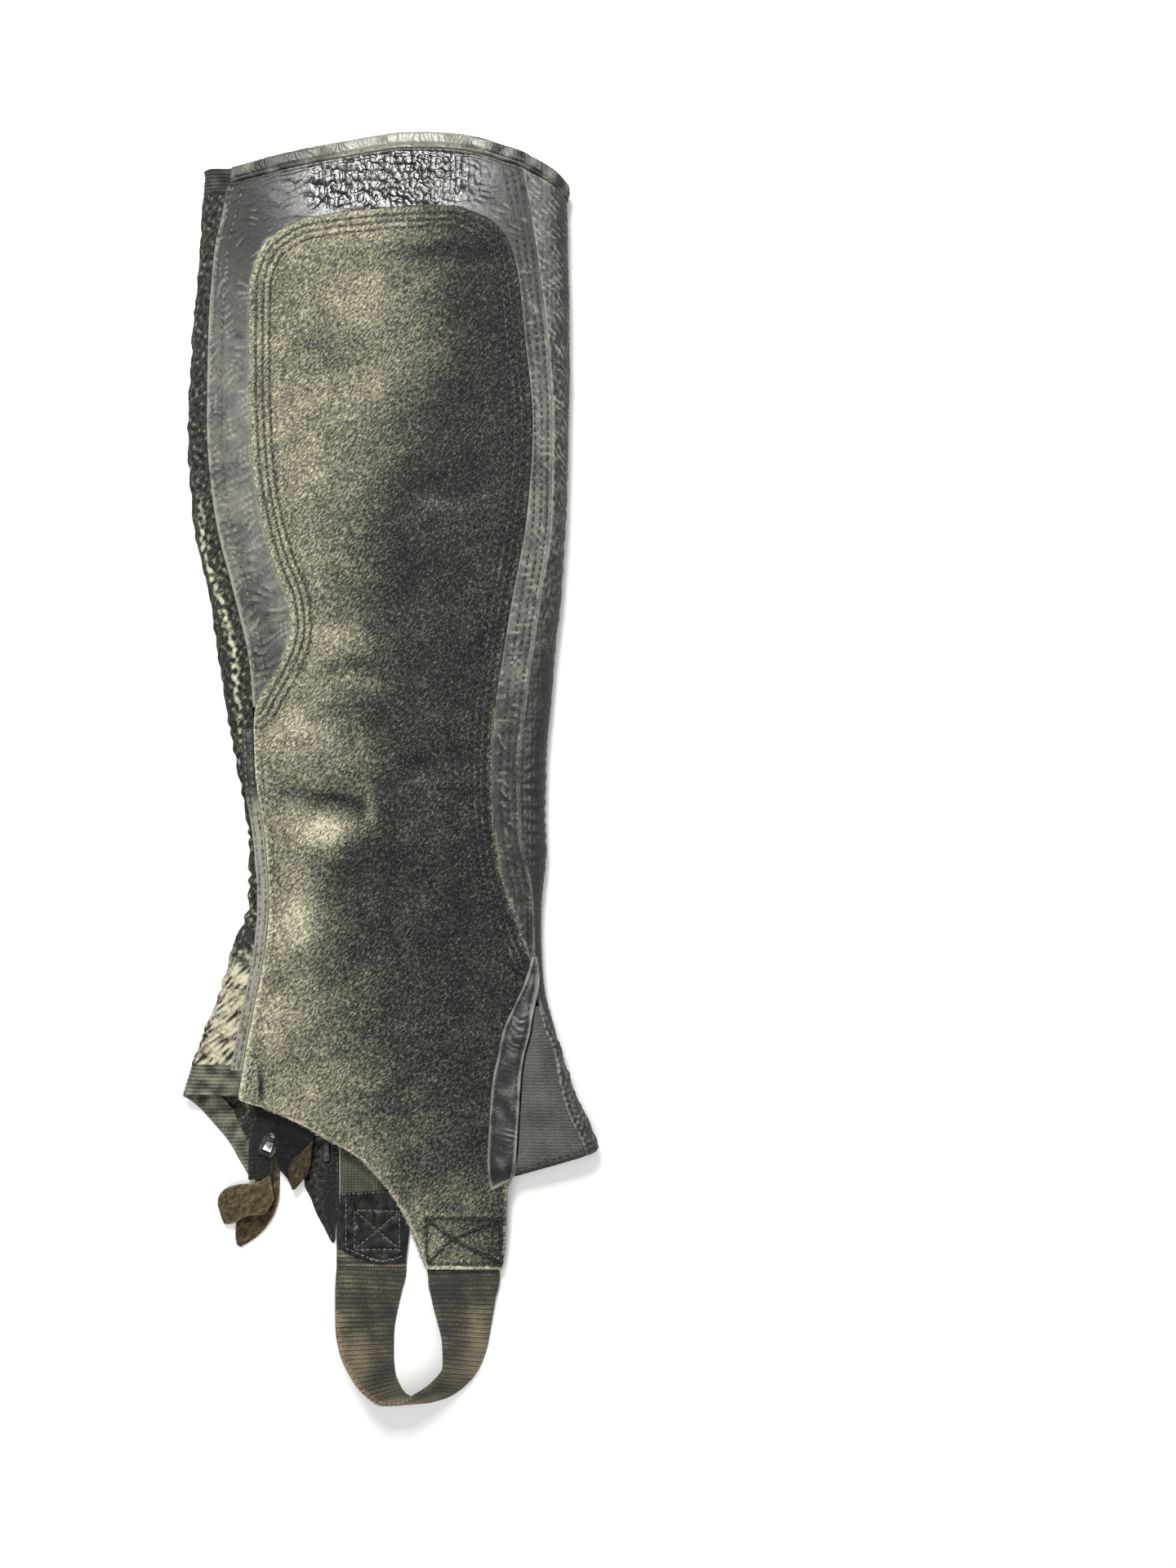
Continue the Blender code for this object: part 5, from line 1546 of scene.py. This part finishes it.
def slab(outline, low, high, chamfer):
    """Solid from an outline of (x, y) points: four rings, the end ones drawn in by the chamfer."""
    outline = np.asarray(outline, float)
    ahead = np.roll(outline, -1, axis=0)
    if (outline[:, 0] * ahead[:, 1] - outline[:, 1] * ahead[:, 0]).sum() < 0:
        outline = outline[::-1]
    centre = outline.mean(axis=0)
    reach = np.abs(outline - centre).max()
    inner = centre + (outline - centre) * (1 - chamfer / reach)
    levels = ((inner, low), (outline, low + chamfer), (outline, high - chamfer), (inner, high))
    rings = [np.column_stack([ring, np.full(len(ring), z)]) for ring, z in levels]
    count = len(outline)
    side = np.arange(count)
    after = np.roll(side, -1)
    faces = [
        np.stack([side, after, after + count, side + count], axis=-1) + ring * count
        for ring in range(3)
    ]
    return np.concatenate(rings), faces, [side[None, ::-1], side[None] + 3 * count]


def joined(name, solids, material, sharp=35):
    """One mesh of many slabs, each moved to its place."""
    points, faces, start = [], [], 0
    for solid, sides, caps in solids:
        points.append(solid)
        faces += [face + start for face in sides + caps]
        start += len(solid)
    by_size = {}
    for face in faces:
        by_size.setdefault(face.shape[1], []).append(face)
    stacks = [np.concatenate(group) for group in by_size.values()]
    return mesh_of(name, np.concatenate(points), stacks, material, sharp=sharp)


def moulded(name, shades, metallic, roughness, wear_size):
    """Moulded or plated hard part: smooth, with rubbed and dull places in patches."""
    material, shader = new_finish(name, {"Metallic": metallic, "Roughness": roughness})
    place = add(material, "TexCoord", {}).outputs["Object"]
    patches = add(material, "TexNoise", {"Vector": place, "Scale": per(wear_size), "Detail": 4.0})
    tone = add(material, "ValToRGB", {"Fac": patches}, stops=zip((0.3, 0.75, 0.5), shades))
    link(material, tone, shader, "Base Color")
    gloss = add(material, "MapRange", {
        "Value": patches, "To Min": roughness - 0.15, "To Max": roughness + 0.25,
    })
    link(material, gloss, shader, "Roughness")
    scratch = add(material, "Bump", {"Strength": 0.3, "Distance": 0.05 * MM, "Height": patches})
    link(material, scratch, shader, "Normal")
    return material


plastic_finish = moulded("black_moulded_nylon", ("#101112", "#55565a", "#232427"), 0.0, 0.38, 3.0)
metal_finish = moulded("worn_black_nickel", ("#343434", "#d0d0cc", "#7d7d7a"), 1.0, 0.30, 5.0)

# Outline of one tooth that faces +X: a foot that grips the tape, a neck and a rounded head.
TOOTH = (
    (0, -0.75), (1.5, -0.62), (2.1, -0.95), (2.9, -0.8), (3.2, -0.35), (3.2, 0.35), (2.9, 0.8),
    (2.1, 0.95), (1.5, 0.62), (0, 0.75),
)
for name, column, facing, top, foot, node in (
    ("zip_teeth_back", BACK_TAPE, 1, 276.0, -166.0, "zip_chain_back"),
    ("zip_teeth_front", FRONT_TAPE, -1, 278.0, -171.5, "zip_chain_front"),
):
    teeth = []
    for y in np.arange(foot, top, TOOTH_PITCH):
        outline = np.array(TOOTH) * (facing, 1) + (zip_edge(column, y), y)
        teeth.append(slab(outline, CHAIN[0] + 0.15, CHAIN[1] - 0.15, 0.35))
    chain = joined(name, teeth, plastic_finish)
    stand_for(chain, "zip_plastic", node)

# The slider's plates are waisted: wide where the two rows come in, narrow at the foot.
# A wedge and two pairs of rails lie between them, and two posts on top carry the bridge.
PLATE = (
    (-0.55, 0.5), (0.55, 0.5), (0.95, 0.36), (1, 0.15), (0.86, -0.1), (0.82, -0.4), (0.62, -0.5),
    (-0.62, -0.5), (-0.82, -0.4), (-0.86, -0.1), (-1, 0.15), (-0.95, 0.36),
)
WEDGE = ((-0.8, 1.0), (0.8, 1.0), (1.6, 4.2), (-1.6, 4.2))
RAIL = ((-0.6, -4.6), (0.6, -4.6), (0.75, 1.0), (-0.75, 1.0))
POST = ((-1.1, -0.7), (1.1, -0.7), (1.1, 0.7), (-1.1, 0.7))
BRIDGE = ((-2.3, -2.4), (2.3, -2.4), (2.1, 2.6), (-2.1, 2.6))
slider_solids = [
    slab(np.array(outline) * stretch + shift, low, high, chamfer)
    for outline, stretch, shifts, low, high, chamfer in (
        (PLATE, SLIDER_SIZE, ((0, 0),), 0.3, 1.6, 0.35),
        (PLATE, SLIDER_SIZE, ((0, 0),), 3.6, 4.9, 0.35),
        (WEDGE, 1, ((0, 0),), 1.5, 3.7, 0.2),
        (RAIL, 1, ((-RAIL_AT, 0), (RAIL_AT, 0)), 3.0, 3.9, 0.2),
        (RAIL, 1, ((-RAIL_AT, 0), (RAIL_AT, 0)), 1.4, 2.1, 0.2),
        (POST, 1, ((0, 3.6), (0, -3.6)), 4.6, 7.0, 0.3),
        (BRIDGE, 1, ((0, 0),), 5.4, 6.8, 0.35),
    )
    for shift in shifts
]
slider_solids[-1][0][:, 2] -= BRIDGE_SLOPE * slider_solids[-1][0][:, 1]
turn = np.array([
    [np.cos(SLIDER_TURN), np.sin(SLIDER_TURN), 0],
    [-np.sin(SLIDER_TURN), np.cos(SLIDER_TURN), 0],
    [0, 0, 1],
])
slider = joined(
    "zip_slider_body",
    [(points @ turn + (*SLIDER_AT, 0), sides, caps) for points, sides, caps in slider_solids],
    metal_finish,
)
stand_for(slider, "worn_nickel", "zip_slider")

pin_width, pin_length, pin_height = PIN_SIZE
pin_outline = np.array([
    (-0.5, -0.5), (0.5, -0.5), (0.5, -0.2), (0.34, -0.1), (0.34, 0.42), (0.2, 0.5), (-0.2, 0.5),
    (-0.34, 0.42), (-0.34, -0.1), (-0.5, -0.2),
]) * (pin_width, pin_length)
pin = joined(
    "zip_pin_moulded",
    [slab(pin_outline + PIN_AT[:2], PIN_AT[2] - pin_height / 2, PIN_AT[2] + pin_height / 2, 0.5)],
    plastic_finish,
)
stand_for(pin, "zip_plastic", "zip_pin")


# Zip guard and pull. A speckled cloth guard beside the front tape, a smooth flap over its top with
# one corner turned to show its olive back, and a pull of two soft olive suede leaves.

GUARD = (
    (-42, -150, -25.3, -150, 0), (-42, -172, -25.3, -172, 0),
    (-41.5, -193.5, -25.3, -193.5, 0), (-38.6, -200, -26.8, -201, 0),
    (-35.5, -208, -27.1, -208, 0), (-32, -214.5, -27.2, -215, 0),
    (-29, -220.5, -27.6, -221.5, 0),
)
FLAP = (
    (-56.2, -150, -33, -150, 6.2), (-56, -163, -35.5, -163, 6),
    (-54.4, -172, -36.5, -172, 5.7), (-53.2, -184, -38, -184, 5.3),
    (-48.6, -190, -41, -190, 5.1), (-46.5, -195, -45.6, -195.2, 5),
)
FLAP_CORNER = (
    (-37.1, -172, -36.3, -172.2, 7.4), (-41.5, -177, -37, -177, 7.3),
    (-47, -182, -37.4, -182, 7.1), (-48, -187, -38.8, -187, 6.9),
    (-47.2, -191, -41.8, -191, 6.7), (-46.3, -194.8, -45, -194.8, 6.6),
)
LOWER_LEAF = (
    (-61, -180.4, -53, -176, 0.3), (-64, -189.8, -53, -189.8, 0.3),
    (-66.3, -197.4, -53.2, -198.6, 1.4), (-69.4, -205, -54.9, -205.8, 1.5),
    (-73.5, -211.9, -59.5, -213.8, 0.6), (-73.9, -217.6, -65.6, -219.5, 0.3),
    (-73.2, -221.7, -71.3, -222.9, 0.3),
)
UPPER_LEAF = (
    (-54.5, -199.3, -56.4, -187.9, 6.8), (-59.5, -206.2, -64.4, -191.7, 7.2),
    (-65.9, -206.7, -70.1, -192.1, 7), (-71.3, -209.2, -76.2, -193.8, 6),
    (-74.7, -211.1, -79.8, -196.7, 4), (-78.1, -211.7, -81.5, -200, 2.4),
    (-80, -208.8, -81.8, -203, 1.9),
)
olive_finish = napped(
    "olive_split_suede", ("#1a160e", "#7e7050", "#3f3625"), (1.3, 0.8), 0.5, 0.1,
)


def soft_relief(x, y, inside):
    """Limp cloth: gentle lumps and a fuzzy face."""
    return 0.22 * waves(x, y, 11, 81) + 0.07 * waves(x, y, 2.4, 82) - 0.15


def rim_wear(base, rim):
    """Wear mark with a pale cut edge."""
    def wear(x, y, inside):
        """A base, more of it at the rim, and unevenness."""
        return base + rim * bell(inside, 0.7) + 0.06 * waves(x, y, 5, 83)
    return wear


for name, rows, thickness, material, mark, base, rim, node, slot, flat, area in (
    ("zip_guard_cloth", GUARD, 1.0, stretch_finish, "wear", 0.12, 0.0, "zip_guard",
     "stretch_nubuck", (0.0167, 0.072), 0.00100),
    ("guard_flap_smooth", FLAP, 1.0, smooth_leather, "scuff", -0.12, 0.1, "guard_flap",
     "black_leather", (0.021, 0.045), 0.00074),
    ("guard_flap_turned_corner", FLAP_CORNER, 1.0, olive_finish, "wear", 0.2, 0.0,
     "guard_flap_corner", "olive_suede", (0.0105, 0.023), 0.00014),
    ("zip_pull_lower_suede", LOWER_LEAF, 1.4, olive_finish, "wear", 0.24, 0.35,
     "zip_pull_lower_leaf", "olive_suede", (0.0155, 0.043), 0.00048),
    ("zip_pull_upper_suede", UPPER_LEAF, 1.4, olive_finish, "wear", 0.4, 0.3,
     "zip_pull_upper_leaf", "olive_suede", (0.0155, 0.031), 0.00036),
):
    piece = flat_piece(
        name, rows, thickness, (60, 36), soft_relief, material, {mark: rim_wear(base, rim)},
    )
    stand_for(piece, slot, node)


# Thread. Black bonded thread in lockstitch rows: each stitch is a short round bar whose two ends
# go down into the cloth.

STITCH_PITCH = 3.4      # from one stitch to the next
STITCH_LENGTH = 2.5     # of what shows of one
STITCH_WIDTH = 0.75
ZIP_ROW_IN = 2.6        # the row beside the zip, from the cloth's edge


def skin_row(path, depth):
    """Points of a thread row on the skin, half a millimetre apart, and their outward directions."""
    count = int(run_of(path)[-1] * 2)
    u, y = spread(path, count).T
    points = skin(u, y, depth)
    out = skin(u, y, depth - 0.5) - skin(u, y, depth + 0.5)
    return points, out / np.maximum(np.linalg.norm(out, axis=-1, keepdims=True), 1e-6)


def beside(path, distance):
    """The path moved sideways, to its right as it runs."""
    along = np.gradient(path, axis=0)
    along /= np.linalg.norm(along, axis=-1, keepdims=True)
    return path + distance * paired(along[:, 1], -along[:, 0])


def thread(name, rows, material, pitch=STITCH_PITCH, length=STITCH_LENGTH, width=STITCH_WIDTH,
           turned=False):
    """Rows of stitches in one mesh: a bar of six sides and four rings, the outer two narrower and
    sunk in. A turned stitch lies across its row, as in whipping."""
    sides = np.arange(6) * np.pi / 3
    ring_at = np.array([-0.5, -0.3, 0.3, 0.5])[:, None] * length
    ring_size = np.array([0.4, 1.0, 1.0, 0.4])[:, None] * width / 2
    ring_up = np.array([-0.45, 0.0, 0.0, -0.45])[:, None]
    bar = np.stack(np.broadcast_arrays(
        ring_at, ring_size * np.cos(sides), ring_up + ring_size * np.sin(sides),
    ), axis=-1).reshape(-1, 3)
    made = []
    for points, out in rows:
        run = run_of(points)
        at = np.arange(pitch / 2, run[-1], pitch)
        middle, before, behind, up = (
            np.stack([np.interp(at + shift, run, column) for column in values.T], axis=-1)
            for values, shift in ((points, 0), (points, 0.4), (points, -0.4), (out, 0))
        )
        along = before - behind
        along /= np.linalg.norm(along, axis=-1, keepdims=True)
        aside = np.cross(up, along)
        if turned:
            along, aside = aside, -along
        frame_of = np.stack([along, aside, up], axis=1)
        made.append(middle[:, None] + np.einsum("pk,skj->spj", bar, frame_of))
    points = np.concatenate(made)
    index = np.arange(24).reshape(4, 6)
    around = np.roll(index, -1, axis=1)
    quads = np.stack([index[:-1], around[:-1], around[1:], index[1:]], axis=-1).reshape(-1, 4)
    start = 24 * np.arange(len(points))[:, None, None]
    caps = np.stack([index[0, ::-1], index[3]])
    return mesh_of(
        name, points.reshape(-1, 3),
        [(quads + start).reshape(-1, 4), (caps + start).reshape(-1, 6)], material, sharp=60,
    )


def thread_finish(name, shades):
    """Waxed or cotton thread: matt, twisted fibres of two close shades."""
    material, shader = new_finish(name, {"Roughness": 0.7, "Sheen Weight": 0.1})
    place = add(material, "TexCoord", {}).outputs["Object"]
    twist = add(material, "TexNoise", {"Vector": place, "Scale": per(1.2), "Detail": 2.0})
    tone = add(material, "ValToRGB", {"Fac": twist}, stops=zip((0.35, 0.7), shades))
    link(material, tone, shader, "Base Color")
    return material


def flat_row(corners, height):
    """Points and directions of a thread row on flat cloth, straight from corner to corner."""
    corners = np.array(corners, float)
    run = run_of(corners)
    at = np.arange(0, run[-1], 0.5)
    points = np.stack([np.interp(at, run, column) for column in corners.T], axis=-1)
    points = np.column_stack([points, np.full(len(at), height)])
    return points, np.broadcast_to([0.0, 0.0, 1.0], points.shape)


black_thread = thread_finish("black_bonded_thread", ("#080808", "#3a3a36"))
dusty_thread = thread_finish("dusty_bonded_thread", ("#1d1c18", "#8d8a78"))
tan_thread = thread_finish("tan_whipping_thread", ("#5d4630", "#b3946b"))

low_y = np.array([-146.0, -110, -76, -40, 0, 24])
grip_line = spread(np.concatenate([seam_at(BACK_SEAM, low_y), grip_outline]), 400)
suede_threads = [
    skin_row(beside(line, row), -SUEDE_PROUD + 0.25)
    for line, row in zip((grip_line, grip_outline, grip_outline), GRIP_ROWS_IN)
]
tongue_threads = [
    skin_row(np.array(path, float), -SUEDE_PROUD - 0.1) for path in (TONGUE_BOX, *TONGUE_CROSS)
]
stitches = thread("grip_thread", suede_threads + tongue_threads, black_thread)
stand_for(stitches, "black_suede")
tab_threads = [flat_row(row, TAB[0][4] + TAB_THICKNESS) for row in TAB_ROWS]
stitches = thread("tab_thread", tab_threads, dusty_thread, pitch=2.6, length=2.0, width=0.6)
stand_for(stitches, "strap_webbing")

leather_threads = [skin_row(beside(front_seam_line, row), 0.16) for row in FRONT_THREADS]
back_threads = [skin_row(beside(back_seam_line, row), 0.12) for row in BACK_THREADS]
leather_threads.append(skin_row(beside(spread(binding_lower, 300), -1.5), BINDING[0] + 0.45))
for edge, y, row in ((TRIM_INNER, trim_back, 2.1), (ANKLE_FRONT, trim_front, -2.1)):
    leather_threads.append(skin_row(upper_edge(x_at(edge, y) + row, y)[1:-1], TRIM[0] + 0.25))
back_threads += [skin_row(tape_edges[1] - (row, 0), ON_TOP[0] + 0.15) for row in (1.3, 3.9)]
leather_threads.append(skin_row(gusset_edge()[1:-1] + (2.2, 0), -0.6))
for row in (0.4, 3.1):
    leather_threads.append(skin_row(beside(gusset_hem, -row)[::-1], GUSSET[0]))
zip_y = np.linspace(275, -170, 60)
for girth, depth in (
    (front_girth(2, zip_y) - ZIP_ROW_IN, LIFT + 0.35),
    (back_girth(2, zip_y) + ZIP_ROW_IN, STRETCH[0] + LIFT + 0.2),
):
    leather_threads.append(skin_row(paired(girth, zip_y), depth))
stitches = thread("leather_thread", leather_threads, black_thread)
stand_for(stitches, "black_leather")
stitches = thread("back_seam_thread", back_threads, dusty_thread)
stand_for(stitches, "black_leather")

# Only the half that runs to the tab is whipped, up to where it is sewn on.
whipped = (strap_run > strap_run[-1] * 0.45) & (strap_middle[:, -1, 1] < -249)
stitches = thread(
    "strap_whipping",
    [(face[whipped, -2], side * strap_square[whipped, -2])
     for face, side in zip(strap_faces, (1, -1))],
    tan_thread, pitch=1.5, length=2.6, width=0.7, turned=True,
)
stand_for(stitches, "strap_webbing")


# Loose fibres. Pale hairs and grit that cling to the nap, thickest where it is dark and polished,
# and the beige fringe of the suede's cut hem.

FIBRES = 5200           # how many cling to the nap
FRINGE = 900            # and how many make up the fringe
DEEP = 8.0              # a distance from the edges at which they no longer show


def fibres(name, u, y, lift, lengths, widths, material, seed):
    """One mesh of small stretched diamonds lying on the nap, each turned its own way."""
    chance = np.random.default_rng(seed)
    raised = suede_relief(u, y, np.full(u.shape, DEEP))
    middle = skin(u, y, -SUEDE_PROUD - raised - lift)
    turn = chance.uniform(0, np.pi, len(u))
    along = np.stack([np.cos(turn), np.sin(turn), chance.normal(0, 0.12, len(u))], axis=-1)
    aside = np.stack([-np.sin(turn), np.cos(turn), 0 * turn], axis=-1)
    up = np.array([0, 0, 1.0])
    length = chance.uniform(*lengths, len(u))[:, None] / 2
    width = chance.uniform(*widths, len(u))[:, None] / 2
    corners = np.stack([
        middle + along * length, middle + aside * width, middle - along * length,
        middle - aside * width, middle + up * width, middle - up * width,
    ], axis=1)
    around = np.array([(0, 1), (1, 2), (2, 3), (3, 0)])
    top = np.column_stack([around, np.full(4, 4)])
    low = np.column_stack([around[:, ::-1], np.full(4, 5)])
    faces = np.concatenate([top, low]) + 6 * np.arange(len(u))[:, None, None]
    return mesh_of(name, corners.reshape(-1, 3), [faces.reshape(-1, 3)], material)


def scattered(grid, count, seed):
    """Random points (u, y) over a grid."""
    chance = np.random.default_rng(seed)
    i = chance.integers(0, grid.shape[0] - 1, count)
    j = chance.integers(0, grid.shape[1] - 1, count)
    a, b = chance.uniform(0, 1, (2, count, 1))
    low = grid[i, j] * (1 - b) + grid[i, j + 1] * b
    high = grid[i + 1, j] * (1 - b) + grid[i + 1, j + 1] * b
    return (low * (1 - a) + high * a).T


fibre_finish = thread_finish("pale_loose_fibre", ("#6b6a5e", "#bdbbad"))
over_u, over_y = scattered(fine(suede_grid(), 220, 60)[6:-6, 3:-3], 2 * FIBRES, 91)
polished = suede_wear_and_painted_light(over_u, over_y, np.full(over_u.shape, DEEP))
kept = np.argsort(polished + np.random.default_rng(92).uniform(0, 1.4, len(polished)))[:FIBRES]
loose = fibres(
    "suede_loose_fibres", over_u[kept], over_y[kept], 0.03, (0.3, 1.2), (0.10, 0.22), fibre_finish,
    93,
)
stand_for(loose, "black_suede")

hem_line = spread(upper_edge(*np.array(SUEDE_HEM, float)[1:].T), FRINGE)
hem_line = hem_line + np.random.default_rng(94).normal(0, 0.45, hem_line.shape) + (0.4, 0.4)
fringe = fibres(
    "suede_hem_fringe", *hem_line.T, -0.1, (0.8, 2.0), (0.2, 0.4),
    thread_finish("beige_cut_fibre", ("#5f5c4d", "#a09c88")), 95,
)
stand_for(fringe, "black_suede")


# The pale table, the soft light and the camera, straight above as in the photograph.

CAMERA_HEIGHT = 0.85
PHOTO_CENTRE = (0.0918, -0.0055)    # where the photograph's middle falls on the table
LENS = 41.5                         # with the 36 mm sensor on the photograph's long side
TABLE = 3                           # half its side
TABLE_DROP = 0.0002                 # it lies this far below the part, to show no common face
ROOM_LIGHT = 0.18                   # strength of the light from all round

table_mesh = bpy.data.meshes.new("table")
table_corners = [(x * TABLE, y * TABLE, 0) for x, y in ((-1, -1), (1, -1), (1, 1), (-1, 1))]
table_mesh.from_pydata(table_corners, [], [(0, 1, 2, 3)])
table = bpy.data.objects.new("table", table_mesh)
table.location = (0, 0, -TABLE_DROP)
bpy.context.collection.objects.link(table)
white = new_finish("white_matt_paper", {
    "Base Color": colour("#f4f4f2"), "Roughness": 0.9, "Specular IOR Level": 0.1,
})[0]
table_mesh.materials.append(white)


def lamp(name, place, aim, size, power):
    """A square soft light at a place, turned to face the point it aims at."""
    light = bpy.data.lights.new(name, "AREA")
    light.energy = power
    light.size = size
    made = bpy.data.objects.new(name, light)
    made.location = place
    direction = np.array(aim) - np.array(place)
    tilt = np.arctan2(np.hypot(direction[0], direction[1]), -direction[2])
    made.rotation_euler = (tilt, 0, np.arctan2(-direction[0], direction[1]))
    bpy.context.collection.objects.link(made)
    return made


lamp("window", (-0.10, 0.75, 1.20), (0, 0, 0), 0.30, 15)
ceiling = lamp("ceiling", (0.05, -0.15, 1.7), (0.05, 0, 0), 1.2, 21)
ceiling.visible_glossy = False
glint = lamp("window_glint", (-0.11, 0.93, 1.05), (0, 0.2, 0), 0.25, 31)
glint.data.shape = "RECTANGLE"
glint.data.size_y = 0.6
glint.visible_diffuse = False
world = bpy.data.worlds.new("room")
world.use_nodes = True
background = world.node_tree.nodes["Background"]
background.inputs["Color"].default_value = (1, 1, 1, 1)
background.inputs["Strength"].default_value = ROOM_LIGHT
bpy.context.scene.world = world
bpy.context.scene.view_settings.view_transform = "Standard"

camera = bpy.data.objects.new("camera", bpy.data.cameras.new("camera"))
camera.data.lens = LENS
camera.data.clip_start = 0.01
camera.location = (*PHOTO_CENTRE, CAMERA_HEIGHT)
bpy.context.collection.objects.link(camera)
bpy.context.scene.camera = camera
